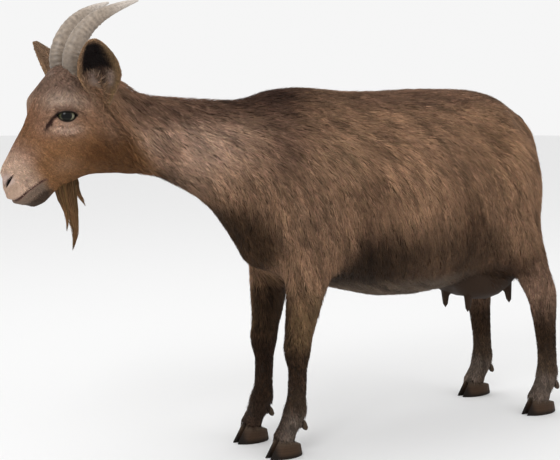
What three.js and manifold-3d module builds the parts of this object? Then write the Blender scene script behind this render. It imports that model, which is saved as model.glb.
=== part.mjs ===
// A life-size domestic doe goat with horns, beard and udder, standing square on four cloven feet.
// Millimetres, +Z up. The goat faces -Y and its left side is +X; the soles are at z = 0.
import * as THREE from "three";
import { mergeVertices } from "three/addons/utils/BufferGeometryUtils.js";
import Module from "manifold-3d";

const wasm = await Module();
wasm.setup();

// ---------------------------------------------------------------- driving dimensions
const withers = 760; // height of the top line over the shoulders
const foreTrack = 68; // half the distance between the fore feet
const hindTrack = 109; // half the distance between the hind feet
const rightForeBack = 9; // the right fore foot stands this much behind the left
const barrelWidth = 164; // half the width of the belly at its widest
const headTilt = THREE.MathUtils.degToRad(38); // how far the head's axis points below level
const headOrigin = [-370, 700]; // y and z where the head's axis meets the neck
const eyeRadius = 16.5;
const eyeSide = 49; // how far the eye's centre sits from the middle
const cutGap = 0.35; // the thin cut between two neighbouring pieces

// ---------------------------------------------------------------- fields
// A field gives the signed distance to a surface, negative inside. The body is even about x = 0,
// so every field reads |x|, and paired muscles are written once, for the left side.
const smooth = (a, b, k) => {
  const h = Math.max(k - Math.abs(a - b), 0) / k;
  return Math.min(a, b) - (h * h * k) / 4;
};
const hollowed = (a, b, k) => -smooth(-a, b, k);

// Catmull-Rom through rows of numbers, several steps to each span.
function resample(rows, steps) {
  const out = [];
  const last = rows.length - 1;
  for (let i = 0; i < last; i++) {
    const [p0, p1, p2, p3] = [-1, 0, 1, 2].map((d) => rows[Math.min(Math.max(i + d, 0), last)]);
    for (let s = 0; s < steps; s++) {
      const t = s / steps;
      out.push(p1.map((_, c) => 0.5 * (2 * p1[c] + (p2[c] - p0[c]) * t +
        (2 * p0[c] - 5 * p1[c] + 4 * p2[c] - p3[c]) * t * t +
        (3 * p1[c] - p0[c] - 3 * p2[c] + p3[c]) * t * t * t)));
    }
  }
  out.push(rows[last]);
  return out;
}

// A swept oval. Rows are [x, y, z, half width across, half depth]; egg narrows its upper side.
function sweep(rows, { steps = 3, egg = 0 } = {}) {
  const fine = resample(rows, steps);
  const spans = [];
  for (let i = 0; i + 1 < fine.length; i++) {
    const a = new THREE.Vector3(...fine[i]);
    const d = new THREE.Vector3(...fine[i + 1]).sub(a);
    const axis = d.clone().normalize();
    const across = new THREE.Vector3(1, 0, 0).addScaledVector(axis, -axis.x).normalize();
    const deep = across.clone().cross(axis);
    spans.push({ a, d, axis, across, deep, len2: d.lengthSq(), from: fine[i], to: fine[i + 1] });
  }
  const q = new THREE.Vector3();
  return (x, y, z) => {
    let best = 1e9;
    for (const s of spans) {
      q.set(Math.abs(x), y, z).sub(s.a);
      const t = Math.min(Math.max(q.dot(s.d) / s.len2, 0), 1);
      q.addScaledVector(s.d, -t);
      const width = s.from[3] + (s.to[3] - s.from[3]) * t;
      const depth = s.from[4] + (s.to[4] - s.from[4]) * t;
      const rise = q.dot(s.deep) / depth;
      const side = q.dot(s.across) / (width * (1 - egg * Math.min(Math.max(rise, -1), 1)));
      const k = Math.hypot(side, rise, q.dot(s.axis) / (0.5 * (width + depth)));
      const m = q.length();
      best = Math.min(best, k < 1e-4 ? -Math.min(width, depth) : m - m / k);
    }
    return best;
  };
}

// An ellipsoid at [x, y, z] with half sizes across, along and high, tipped nose-down by tilt.
function lump(at, half, tilt = 0) {
  const [c, s] = [Math.cos(tilt), Math.sin(tilt)];
  return (x, y, z) => {
    const [dy, dz] = [y - at[1], z - at[2]];
    const q = [Math.abs(x) - at[0], c * dy + s * dz, -s * dy + c * dz];
    const k0 = Math.hypot(q[0] / half[0], q[1] / half[1], q[2] / half[2]);
    const k1 = Math.hypot(q[0] / half[0] ** 2, q[1] / half[1] ** 2, q[2] / half[2] ** 2);
    return k1 < 1e-9 ? -Math.min(...half) : (k0 * (k0 - 1)) / k1;
  };
}

const merged = (base, parts) => (x, y, z) =>
  parts.reduce((d, [field, k]) => smooth(d, field(x, y, z), k), base(x, y, z));
const carved = (base, parts) => (x, y, z) =>
  parts.reduce((d, [field, k]) => hollowed(d, field(x, y, z), k), base(x, y, z));

// ---------------------------------------------------------------- trunk and neck
// Profile rows are [y, height of the top, height of the underside, half width].
const fromProfile = (rows) =>
  rows.map(([y, top, under, half]) => [0, y, (top + under) / 2, half, (top - under) / 2]);

const barrel = sweep(fromProfile([
  [-12, 694, 404, 64], // breast
  [42, withers, 368, 92], // withers over the breastbone
  [120, 758, 345, 125],
  [200, 746, 319, 149], // dip behind the withers
  [285, 748, 295, barrelWidth], // deepest belly
  [370, 754, 289, barrelWidth],
  [450, 753, 305, 154],
  [530, 749, 332, 132], // loin over the flank
  [596, 733, 380, 105], // croup
  [650, 699, 440, 80],
  [682, 674, 500, 58], // root of the tail
]), { egg: 0.17 });

const neckBase = sweep([
  [0, -362, 677, 47, 81], // behind the jaw
  [0, -310, 670, 48, 81],
  [0, -250, 663, 51, 84],
  [0, -190, 649, 57, 94],
  [0, -130, 633, 66, 107],
  [0, -66, 613, 78, 122],
  [0, 0, 592, 88, 149], // into the shoulders
], { egg: 0.12 });

const torso = carved(merged(barrel, [
  [neckBase, 46],
  [sweep([[0, 10, 728, 14, 28], [0, 90, 730, 15, 28], [0, 300, 717, 16, 28],
    [0, 560, 716, 18, 30], [0, 668, 672, 15, 24]]), 26], // spine
  [sweep([[28, 130, 704, 24, 26], [34, 320, 700, 30, 28], [40, 540, 706, 34, 28],
    [32, 640, 676, 26, 24]]), 34], // long muscles beside the spine
  [lump([58, 54, 620], [38, 54, 118], -0.32), 34], // shoulder blade
  [lump([80, -14, 500], [30, 40, 58], 0.3), 40], // point of the shoulder
  [lump([82, 54, 452], [36, 66, 84], 0.35), 40], // upper arm
  [lump([0, -24, 434], [42, 32, 54]), 40], // brisket
  [lump([70, 550, 690], [36, 52, 30]), 46], // hip bone
  [lump([40, 682, 632], [28, 34, 38]), 34], // pin bone
  [lump([86, 606, 514], [50, 80, 146], 0.10), 46], // thigh
  [lump([60, 650, 506], [48, 50, 128], 0.0), 40], // buttock
  [lump([104, 588, 412], [42, 54, 74], -0.3), 44], // stifle
]), [
  [lump([160, 500, 660], [34, 70, 60]), 56], // hollow of the flank
  [lump([112, -104, 560], [38, 34, 70]), 36], // groove between neck and shoulder
  [lump([0, 718, 510], [18, 36, 120]), 34], // cleft between the thighs
]);

// ---------------------------------------------------------------- head
// Head coordinates: s runs along the head's axis to the muzzle, t up from it towards the forehead.
const headPoint = (x, s, t) => [
  x,
  headOrigin[0] - s * Math.cos(headTilt) - t * Math.sin(headTilt),
  headOrigin[1] - s * Math.sin(headTilt) + t * Math.cos(headTilt),
];
const headSweep = (rows, options) => sweep(rows.map(([s, top, under, half]) =>
  [...headPoint(0, s, (top + under) / 2), half, (top - under) / 2]), options);
const headLump = (x, s, t, half) => lump(headPoint(x, s, t), half, headTilt);

const skull = headSweep([
  // s, forehead side, jaw side, half width
  [198, 62, -22, 26], // lips
  [176, 72, -37, 28],
  [146, 84, -48, 33],
  [112, 97, -55, 40],
  [78, 113, -61, 48],
  [42, 123, -60, 52],
  [10, 110, -50, 50],
  [-22, 84, -40, 46], // nape
], { egg: -0.06 });

const eyeCentre = headPoint(eyeSide, 79, 68);
const head = carved(merged(skull, [
  [headLump(40, 78, 76, [20, 36, 26]), 26], // rim of the eye socket
  [headLump(34, 64, 100, [22, 36, 17]), 24], // brow
  [headLump(35, 60, -2, [17, 54, 46]), 40], // cheek
  [headLump(24, 10, 116, [22, 24, 18]), 18], // boss under the horn
  [headLump(0, 30, 118, [26, 34, 12]), 20], // crown
  [headLump(14, 203, 40, [13, 17, 15]), 14], // wing of the nostril
  [headLump(12, 209, 4, [15, 20, 16]), 14], // upper lip
  [headLump(7, 207, -24, [13, 20, 11]), 12], // lower lip
  [headLump(0, 192, -32, [16, 22, 12]), 14], // chin
  [headLump(22, 122, 36, [18, 60, 28]), 34], // upper jaw
  [headLump(50, 6, 50, [15, 24, 26]), 18], // root of the ear
]), [
  [headLump(44, 150, 90, [18, 44, 16]), 26], // beside the bridge of the nose
]);

// ---------------------------------------------------------------- legs
const foreLeg = sweep([
  // x, y, z, half width, half depth
  [foreTrack + 10, 52, 420, 38, 58],
  [foreTrack + 6, 55, 380, 38, 54], // elbow
  [foreTrack + 3, 47, 334, 34, 47], // forearm
  [foreTrack, 40, 284, 27, 37.5],
  [foreTrack, 35, 250, 24.5, 31.5],
  [foreTrack, 30, 228, 26.5, 34], // knee
  [foreTrack, 30, 203, 23.5, 29],
  [foreTrack, 31, 182, 19, 23.5],
  [foreTrack, 31, 150, 17, 20.5], // cannon
  [foreTrack, 29, 118, 18.5, 22],
  [foreTrack, 24, 90, 22, 26], // fetlock
  [foreTrack, 13, 68, 21, 22],
  [foreTrack, 1, 48, 22, 21], // pastern
  [foreTrack, -7, 28, 25, 27],
], { steps: 2 });

const hindLeg = sweep([
  [hindTrack - 28, 626, 450, 56, 70],
  [hindTrack - 14, 634, 404, 50, 61], // stifle
  [hindTrack - 3, 653, 354, 39, 47], // gaskin
  [hindTrack, 669, 316, 33, 38],
  [hindTrack, 686, 288, 28.5, 40],
  [hindTrack, 695, 262, 27, 37], // hock
  [hindTrack, 699, 226, 24.5, 33.5],
  [hindTrack, 706, 190, 21.5, 28.5],
  [hindTrack, 710, 150, 20, 26], // cannon
  [hindTrack, 713, 112, 20.5, 25.5],
  [hindTrack, 711, 88, 23.5, 28], // fetlock
  [hindTrack, 704, 66, 22, 24],
  [hindTrack, 692, 46, 24, 23], // pastern
  [hindTrack, 684, 28, 27, 29],
], { steps: 2 });

const body = merged(torso, [[head, 34], [foreLeg, 30], [hindLeg, 30]]);

// ---------------------------------------------------------------- from field to solid
// The surface point on a ray from a place inside the field, never further than reach.
function hit(field, from, way, reach, grow) {
  const at = (d) => field(from.x + way.x * d, from.y + way.y * d, from.z + way.z * d) - grow;
  const step = 4;
  let far = step;
  while (far < reach && at(far) < 0) far += step;
  if (far >= reach) return from.clone().addScaledVector(way, reach);
  let near = far - step;
  for (let i = 0; i < 12; i++) {
    const middle = (near + far) / 2;
    if (at(middle) < 0) near = middle;
    else far = middle;
  }
  return from.clone().addScaledVector(way, near);
}

// One closed surface over rings of equal count, each end shut by a fan to its point.
function ringSolid(rings, start, end) {
  const sides = rings[0].length;
  const points = [...rings.flat(), start, end];
  const faces = [];
  for (let r = 0; r + 1 < rings.length; r++)
    for (let i = 0; i < sides; i++) {
      const [a, b] = [r * sides + i, r * sides + ((i + 1) % sides)];
      faces.push(a, b, b + sides, a, b + sides, a + sides);
    }
  const [first, last, top] = [points.length - 2, points.length - 1, (rings.length - 1) * sides];
  for (let i = 0; i < sides; i++) {
    const next = (i + 1) % sides;
    faces.push(first, next, i, last, top + i, top + next);
  }
  return toSolid(new THREE.BufferGeometry()
    .setAttribute("position", new THREE.BufferAttribute(
      new Float32Array(points.flatMap((p) => [p.x, p.y, p.z])), 3))
    .setIndex(faces));
}

function solidFrom(positions, triangles) {
  return new wasm.Manifold(new wasm.Mesh({ numProp: 3, vertProperties: positions, triVerts: triangles }));
}

function toSolid(geometry) {
  const bare = geometry.clone();
  bare.deleteAttribute("normal");
  bare.deleteAttribute("uv");
  const one = mergeVertices(bare, 1e-4);
  const faces = new Uint32Array(one.index.array);
  const solid = solidFrom(one.attributes.position.array, faces);
  if (solid.volume() >= 0) return solid;
  for (let i = 0; i < faces.length; i += 3) [faces[i], faces[i + 1]] = [faces[i + 1], faces[i]];
  return solidFrom(one.attributes.position.array, faces);
}

// A station is a slanted slice of the body: its centre and its axis, from the slice's two ends
// [y, z] seen from the side, listed so that the axis points onwards to the next station.
function station([yA, zA, yB, zB], x = 0) {
  const axis = new THREE.Vector3(0, zA - zB, yB - yA).normalize();
  return { centre: new THREE.Vector3(x, (yA + yB) / 2, (zA + zB) / 2), axis };
}

// The surface of a field round one station.
function ring(field, { centre, axis }, sides, { reach = 400, grow = 0 } = {}) {
  const across = new THREE.Vector3(1, 0, 0);
  const up = axis.clone().cross(across);
  return Array.from({ length: sides }, (_, i) => {
    const angle = (2 * Math.PI * (i + 0.5)) / sides;
    const way = across.clone().multiplyScalar(Math.cos(angle)).addScaledVector(up, Math.sin(angle));
    return hit(field, centre, way, reach, grow);
  });
}

const shifted = (rings, axis, by) => rings.map((p) => p.clone().addScaledVector(axis, by));

// ---------------------------------------------------------------- head, neck and trunk as one run
const headRows = [
  // forehead or top line [y, z], then jaw or underside [y, z]
  [-578, 604, -563, 558],
  [-573, 621, -555, 547],
  [-563, 640, -541, 544],
  [-548, 665, -521, 548],
  [-533, 690, -500, 558],
  [-519, 712, -479, 568],
  [-505, 732, -460, 577],
  [-492, 752, -442, 584],
  [-479, 778, -424, 590],
  [-462, 801, -409, 593],
  [-436, 804, -396, 595],
  [-392, 788, -384, 596],
];
const neckRows = [
  [-338, 762, -374, 597], // the cut behind the jaw
  [-296, 753, -342, 596],
  [-248, 744, -300, 589],
  [-196, 741, -256, 573],
  [-142, 739, -213, 550],
  [-90, 738, -172, 519],
  [-42, 743, -132, 478],
  [2, 751, -88, 424], // the cut before the shoulders
];
const trunkRows = [
  [34, 758, -46, 384],
  [70, 760, 0, 366],
  [110, 756, 50, 352],
  [194, 745, 156, 334],
  [282, 744, 270, 303],
  [374, 751, 376, 297],
  [508, 749, 500, 325],
  [550, 746, 526, 336],
  [592, 738, 548, 348],
  [630, 722, 566, 360],
  [662, 699, 580, 371],
  [685, 668, 590, 380],
  [698, 632, 597, 387],
  [706, 592, 603, 393],
  [711, 550, 608, 398],
  [713, 508, 612, 402],
  [712, 470, 615, 405],
  [706, 438, 617, 407],
];
const stationsOf = (rows, steps) => resample(rows, steps).map((row) => station(row));

const bodySides = 28;
const headStations = stationsOf([...headRows, neckRows[0]], 1);
const headRings = headStations.map((s) => ring(body, s, bodySides, { reach: 180 }));
const neckStations = stationsOf(neckRows, 1);
const neckRings = neckStations.map((s) => ring(body, s, bodySides, { reach: 260 }));
const trunkStations = stationsOf([neckRows.at(-1), ...trunkRows], 1);
const trunkRings = trunkStations.map((s) => ring(torso, s, bodySides, { reach: 330 }));

// Draws a ring back along its station's axis, which leaves half of a thin cut.
function backed(rings, stations, at, by) {
  const copy = [...rings];
  const i = at < 0 ? rings.length + at : at;
  copy[i] = shifted(rings[i], stations[i].axis, by);
  return copy;
}
const middle = (points) =>
  points.reduce((sum, p) => sum.add(p), new THREE.Vector3()).divideScalar(points.length);
const capped = (rings, start, end) =>
  ringSolid(rings, start ?? middle(rings[0]), end ?? middle(rings.at(-1)));

const noseTip = hit(body, headStations[0].centre, headStations[0].axis.clone().negate(), 40, 0);
const headTube = capped(backed(headRings, headStations, -1, -cutGap / 2), noseTip);
const neckTube = capped(backed(backed(neckRings, neckStations, 0, cutGap / 2),
  neckStations, -1, -cutGap / 2));
const trunkTube = capped(backed(trunkRings, trunkStations, 0, cutGap / 2));

// ---------------------------------------------------------------- legs
const foreRows = [
  // front [y, z], then back [y, z]
  [-10, 452, 112, 452],
  [-4, 412, 112, 412],
  [-4, 376, 106, 376],
  [-2, 350, 100, 350],
  [0, 328, 94, 328],
  [2, 284, 78, 284],
  [0, 244, 65, 244],
  [-3, 228, 63, 228],
  [0, 211, 58, 211],
  [4, 195, 52, 195],
  [6, 178, 50, 178],
  [5, 126, 47, 126],
  [0, 108, 47, 108],
  [-6, 92, 46, 88],
  [-12, 77, 36, 68],
  [-20, 62, 24, 46],
  [-27, 47, 18, 28],
  [-34, 33, 18, 12],
];
const hindRows = [
  [552, 470, 706, 470],
  [570, 424, 704, 430],
  [584, 388, 700, 400],
  [598, 356, 698, 372],
  [612, 336, 699, 350],
  [626, 318, 703, 330],
  [646, 286, 722, 294],
  [653, 270, 729, 276],
  [658, 252, 730, 256],
  [668, 208, 730, 208],
  [680, 150, 732, 150],
  [684, 122, 736, 122],
  [682, 102, 737, 102],
  [679, 86, 735, 82],
  [674, 70, 722, 62],
  [666, 55, 710, 42],
  [658, 42, 706, 26],
  [650, 30, 706, 10],
];
const legSides = 12;

// A leg and the stump of it inside the trunk, as one tube. Its top rings sink under the skin,
// and below the elbow the leg stands back by stepBack.
function legTube(rows, x, reach, stepBack = 0, grow = 0) {
  const lean = (p) => p.setY(p.y + stepBack * Math.min(1, Math.max(0, (420 - p.z) / 150)));
  return capped(rows.map((row, i) => ring(body, station(row, x), legSides,
    { reach, grow: grow + ([-8, -5, -2][i] ?? 0) }).map(lean)));
}

// A block for cutting, between two corners.
function block(from, to) {
  const size = to.map((v, i) => v - from[i]);
  return toSolid(new THREE.BoxGeometry(...size)
    .translate(...from.map((v, i) => v + size[i] / 2)));
}

// The space of one leg below its level cut, seen from above as a rectangle. Widened by half the
// thin cut for what stays on the trunk, narrowed by half for the leg.
function legSpace(side, [inner, front, back, level], widen) {
  const [near, far] = [inner - widen, 260];
  return block([Math.min(side * near, side * far), front - widen, -50],
    [Math.max(side * near, side * far), back + widen, level + widen]);
}
const foreSpace = [10, -120, 116, 330];
const hindSpace = [14, 574, 840, 352];

const legs = ["left", "right"].flatMap((word, i) => {
  const side = i ? -1 : 1;
  const fore = [foreRows, side * foreTrack, 62, i ? rightForeBack : 0];
  const hind = [hindRows, side * hindTrack, 84, 0];
  return [["front", fore, foreSpace], ["rear", hind, hindSpace]].map(([end, shape, space]) => ({
    end, word, side, space, stepBack: shape[3], tube: legTube(...shape), snug: legTube(...shape, 0.3),
  }));
});
let whole = trunkTube;
for (const leg of legs) whole = whole.add(leg.tube);

// ---------------------------------------------------------------- hooves
// Half of a cloven hoof: a toe of horn, its outer wall rounded, its inner wall nearly flat.
const clawGap = 2.2; // half the cleft at the heel
const clawToeGap = 5; // half the cleft at the toe
function claw({ length, width, height, heel }) {
  const levels = [0, 0.12, 0.5, 1];
  const outerSteps = 6;
  const innerSteps = 3;
  const rings = levels.map((h) => {
    const front = -length * 0.56 + 0.62 * height * h; // the wall leans back
    const rear = length * 0.44 - 0.10 * height * h - (h === 0 ? 4 : 0);
    const half = width * (h === 0 ? 0.97 : 1 - 0.14 * h);
    const top = (y) => {
      const t = (y - front) / (rear - front);
      return h * (height + (heel - height) * t);
    };
    const edge = [];
    for (let i = 0; i < outerSteps; i++) {
      const t = i / (outerSteps - 1); // heel to toe on the outer side
      const y = rear + (front - rear) * t;
      const bulge = Math.sqrt(Math.max(0, 1 - (2 * Math.min(Math.max(t, 0), 1) - 0.86) ** 2 / 1.34));
      edge.push([clawGap + half * (i === outerSteps - 1 ? 0.3 : Math.max(bulge, 0.3)), y]);
    }
    for (let i = 0; i < innerSteps; i++) {
      const t = 1 - i / (innerSteps - 1);
      edge.push([clawGap + (clawToeGap - clawGap) * t * t, rear + (front + 3 - rear) * t]);
    }
    return edge.map(([x, y]) => new THREE.Vector3(x, y, top(y)));
  });
  return ringSolid(rings, middle(rings[0]), middle(rings.at(-1)));
}

// A dewclaw: a stub of horn behind the fetlock, pointing down and back.
function dewclaw(at, half, length) {
  const axis = new THREE.Vector3(0, 0.52, -0.85).normalize();
  const across = new THREE.Vector3(1, 0, 0);
  const up = axis.clone().cross(across);
  const rings = [[-0.6, 0.8], [0.1, 1], [0.7, 0.75]].map(([d, r]) => Array.from({ length: 6 }, (_, i) => {
    const angle = (2 * Math.PI * i) / 6;
    return new THREE.Vector3(...at).addScaledVector(axis, d * length)
      .addScaledVector(across, Math.cos(angle) * half * r).addScaledVector(up, Math.sin(angle) * half * r * 0.85);
  }));
  return ringSolid(rings, middle(rings[0]), new THREE.Vector3(...at).addScaledVector(axis, length));
}

// The slanted cut of the coronet: everything on the sole's side of it is hoof.
function underCoronet(x, y, height, heel, length, lift) {
  const front = -length * 0.56 + 0.62 * height;
  const rear = length * 0.44 - 0.10 * height;
  const slope = Math.atan2(heel - height, rear - front);
  const slab = new THREE.BoxGeometry(120, 240, 200).translate(0, 0, -100);
  slab.applyMatrix4(new THREE.Matrix4().makeRotationX(slope));
  slab.translate(x, y + front, height + lift);
  return toSolid(slab);
}

const feet = [
  { end: "front", y: -2, track: foreTrack, length: 76, width: 25, height: 40, heel: 26,
    dew: [38, 64, 8.5, 18] },
  { end: "rear", y: 688, track: hindTrack, length: 83, width: 25.5, height: 38, heel: 25,
    dew: [731, 65, 8.5, 18] },
];

// ---------------------------------------------------------------- horns, ears and eyes
// Rings along a curve of [x, y, z], with their half width and half depth by place along it.
function horned(points, rings, sides, sizeAt, { start, end } = {}) {
  const curve = new THREE.CatmullRomCurve3(points.map((p) => new THREE.Vector3(...p)));
  const loops = Array.from({ length: rings }, (_, r) => {
    const u = r / rings;
    const axis = curve.getTangentAt(u);
    const across = new THREE.Vector3(1, 0, 0).addScaledVector(axis, -axis.x).normalize();
    const up = axis.clone().cross(across);
    const [wide, deep] = sizeAt(u, r);
    return Array.from({ length: sides }, (_, i) => {
      const angle = (2 * Math.PI * (i + 0.5)) / sides;
      return curve.getPointAt(u).addScaledVector(across, Math.cos(angle) * wide)
        .addScaledVector(up, Math.sin(angle) * deep);
    });
  });
  return ringSolid(loops, start ?? middle(loops[0]), end ?? curve.getPointAt(1));
}

// Ridged for two thirds of its length, smooth towards the tip; oval, the long way fore and aft.
const hornRoot = [25, -443, 786];
const hornLine = [hornRoot, [28, -446, 812], [31, -437, 842], [35, -419, 868], [41, -395, 888],
  [48, -368, 902], [55, -342, 912], [59, -326, 917]];
const horn = horned(hornLine, 20, 10, (u, r) => {
  const body = (1 - u ** 1.5) ** 0.9;
  const ridge = u > 0.1 && u < 0.72 ? (r % 2 ? 0.9 : -0.5) : 0;
  return [2.2 + 13.5 * body + ridge, 2.4 + 18.5 * body + ridge];
});

// A cupped leaf, open forwards and outwards, built as an inner and an outer skin.
function earSolid() {
  const base = new THREE.Vector3(66, -402, 727);
  const tip = new THREE.Vector3(118, -449, 848);
  const line = tip.clone().sub(base);
  const length = line.length();
  const axis = line.clone().normalize();
  const open = new THREE.Vector3(0.80, -0.58, 0.02); // the way the cup faces
  open.addScaledVector(axis, -open.dot(axis)).normalize();
  const across = axis.clone().cross(open).normalize();
  const [rows, columns] = [9, 9];
  const skin = (inner) => Array.from({ length: rows }, (_, r) => {
    const u = 0.02 + 0.96 * (r / (rows - 1));
    const half = 41 * Math.sin(Math.PI * Math.min(u * 0.88 + 0.10, 1)) ** 0.66 *
      (0.62 + 0.38 * Math.min(1, u * 2.4));
    const curl = 1.85 - 1.05 * u; // half the angle of the cup's arc
    const radius = half / Math.sin(Math.min(curl, Math.PI / 2));
    const thick = 5.6 - 2.4 * u;
    const sway = 9 * Math.sin(Math.PI * u) + 6 * u * u; // the back bows out
    return Array.from({ length: columns }, (_, c) => {
      const v = (2 * c) / (columns - 1) - 1;
      const angle = v * curl;
      const rim = inner ? Math.sqrt(1 - Math.abs(v) ** 6) : 1;
      const at = radius - (inner ? thick * rim : 0);
      return base.clone().addScaledVector(axis, u * length)
        .addScaledVector(across, Math.sin(angle) * at)
        .addScaledVector(open, -(Math.cos(angle) * at - radius * Math.cos(curl)) - sway + 14);
    });
  });
  const [outer, inner] = [skin(false), skin(true)];
  const rings = outer.map((row, r) => [...row, ...[...inner[r]].reverse().slice(1, -1)]);
  return ringSolid(rings, middle(rings[0]), middle(rings.at(-1)));
}

function ball(centre, radius, around = 14, down = 8) {
  return toSolid(new THREE.SphereGeometry(radius, around, down)
    .rotateZ(-Math.PI / 2).translate(...centre));
}

const mirrored = (solid) => {
  const mesh = solid.getMesh();
  const positions = new Float32Array(mesh.vertProperties);
  for (let i = 0; i < positions.length; i += 3) positions[i] *= -1;
  const faces = new Uint32Array(mesh.triVerts);
  for (let i = 0; i < faces.length; i += 3) [faces[i], faces[i + 1]] = [faces[i + 1], faces[i]];
  return solidFrom(positions, faces);
};
const sided = (solid, side) => (side > 0 ? solid : mirrored(solid));

// ---------------------------------------------------------------- beard, tail and udder
const cone = (points, wide, deep, sides = 8, rings = 5) => horned(points, rings, sides,
  (u) => [wide * (1 - 0.85 * u ** 1.2), deep * (1 - 0.85 * u ** 1.2)]);
const beard = cone([[0, -456, 592], [0, -449, 556], [0, -439, 520], [0, -433, 484], [0, -440, 450]], 15, 22, 8, 6)
  .add(cone([[4, -466, 584], [6, -459, 550], [7, -453, 516], [6, -454, 488]], 9, 13, 7, 4))
  .add(cone([[-5, -442, 592], [-6, -430, 568], [-5, -417, 548], [-4, -409, 533]], 9, 12, 7, 4));

const tail = horned([[0, 660, 688], [0, 688, 688], [0, 710, 668], [0, 722, 634], [0, 729, 592], [0, 730, 548]],
  9, 9, (u) => [4 + 20 * Math.sin(Math.PI * Math.min(1, u * 0.7 + 0.3)) ** 0.8, 9 - 3 * u]);

const udderField = merged(lump([0, 582, 354], [82, 116, 84]), [
  [lump([40, 570, 342], [48, 92, 72]), 30], // the two halves of the bag
  [lump([26, 648, 400], [38, 42, 80]), 34], // its back, high between the thighs
]);
const udderRows = [
  [456, 400, 456, 300],
  [480, 400, 478, 284],
  [510, 400, 510, 270],
  [545, 404, 545, 264],
  [582, 412, 582, 264],
  [614, 430, 618, 268],
  [640, 452, 650, 278],
  [668, 470, 676, 300],
  [686, 470, 690, 340],
];
const udder = capped(stationsOf(udderRows, 1).map((s) => ring(udderField, s, 15, { reach: 130 })));
const teats = [["front", [38, 527, 300], [38, 527, 238]], ["rear", [43, 642, 306], [44, 651, 249]]];
const teat = (from, to) => horned([from, from.map((v, i) => (v + to[i]) / 2), to], 5, 8,
  (u) => [13.5 - 7.5 * u, 13.5 - 7.5 * u], { end: new THREE.Vector3(...to) });

// ---------------------------------------------------------------- assembly
const goat = new THREE.Group();
const paint = (color, roughness) => new THREE.MeshStandardMaterial({ color, roughness, metalness: 0 });

function add(name, solid, color, roughness) {
  const mesh = solid.getMesh();
  const geometry = new THREE.BufferGeometry()
    .setAttribute("position", new THREE.BufferAttribute(new Float32Array(mesh.vertProperties), 3))
    .setIndex(new THREE.BufferAttribute(new Uint32Array(mesh.triVerts), 1));
  const part = new THREE.Mesh(geometry, paint(color, roughness));
  part.name = name;
  goat.add(part);
}

const fit = 0.3; // clearance round a piece let into another
const sidesOf = [["left", 1], ["right", -1]];
const headSnug = capped(headStations.map((s) => ring(body, s, bodySides, { reach: 180, grow: fit })),
  noseTip.clone().add(new THREE.Vector3(0, -1, 0)));
const trunkSnug = capped(trunkStations.map((s) => ring(torso, s, bodySides, { reach: 330, grow: fit })));

let headSolid = headTube;
for (const [, side] of sidesOf) {
  const centre = [eyeCentre[0] * side, eyeCentre[1], eyeCentre[2]];
  headSolid = headSolid.subtract(ball(centre, eyeRadius + fit));
}
add("head", headSolid, 0x80634c, 0.9);
add("neck", neckTube, 0x7a6250, 0.9);

let trunkSolid = whole;
for (const leg of legs) trunkSolid = trunkSolid.subtract(legSpace(leg.side, leg.space, cutGap / 2));
add("trunk", trunkSolid, 0x6f5743, 0.9);

for (const leg of legs) {
  const foot = feet.find(({ end }) => end === leg.end);
  const [x, y] = [leg.side * foot.track, foot.y + leg.stepBack];
  const solid = whole.intersect(legSpace(leg.side, leg.space, -cutGap / 2))
    .subtract(underCoronet(x, y, foot.height, foot.heel, foot.length, cutGap));
  add(`leg_${leg.end}_${leg.word}`, solid, 0x4b392b, 0.9);
  for (const [place, half] of [["outer", leg.side], ["inner", -leg.side]]) {
    add(`hoof_${leg.end}_${leg.word}_${place}`, sided(claw(foot), half).translate(x, y, 0),
      0x4a3d34, 0.5);
    const [dewY, dewZ, radius, length] = foot.dew;
    const dew = dewclaw([x + half * 10, dewY + leg.stepBack, dewZ], radius, length);
    add(`dewclaw_${leg.end}_${leg.word}_${place}`, dew.subtract(leg.snug), 0x3f342c, 0.5);
  }
}

for (const [word, side] of sidesOf) {
  add(`horn_${word}`, sided(horn, side).subtract(headSnug), 0x8a7c6e, 0.5);
  add(`ear_${word}`, sided(earSolid(), side).subtract(headSnug), 0x7d6048, 0.85);
  add(`eye_${word}`, ball([eyeCentre[0] * side, eyeCentre[1], eyeCentre[2]], eyeRadius), 0x2a211c, 0.1);
}
add("beard", beard.subtract(headSnug), 0x75614f, 0.95);
add("tail", tail.subtract(trunkSnug), 0x5a4636, 0.95);

let hindSnug = trunkSnug;
for (const leg of legs) hindSnug = hindSnug.add(leg.snug);
add("udder", udder.subtract(hindSnug), 0x5b4a40, 0.8);
const udderSnug = capped(stationsOf(udderRows, 1).map((s) =>
  ring(udderField, s, 15, { reach: 130, grow: fit })));
for (const [word, side] of sidesOf)
  for (const [end, from, to] of teats)
    add(`teat_${end}_${word}`, sided(teat(from, to), side).subtract(udderSnug).subtract(hindSnug),
      0x4f4640, 0.7);

// The origin is the middle of the bounding box, on the floor.
const box = new THREE.Box3().setFromObject(goat);
const offset = box.getCenter(new THREE.Vector3()).setZ(box.min.z).negate();
goat.children.forEach((part) => part.geometry.translate(offset.x, offset.y, offset.z));

export default goat;
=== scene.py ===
import math

import bmesh
import bpy
import numpy as np
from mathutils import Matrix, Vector, noise
from mathutils.bvhtree import BVHTree
from mathutils.kdtree import KDTree


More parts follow.
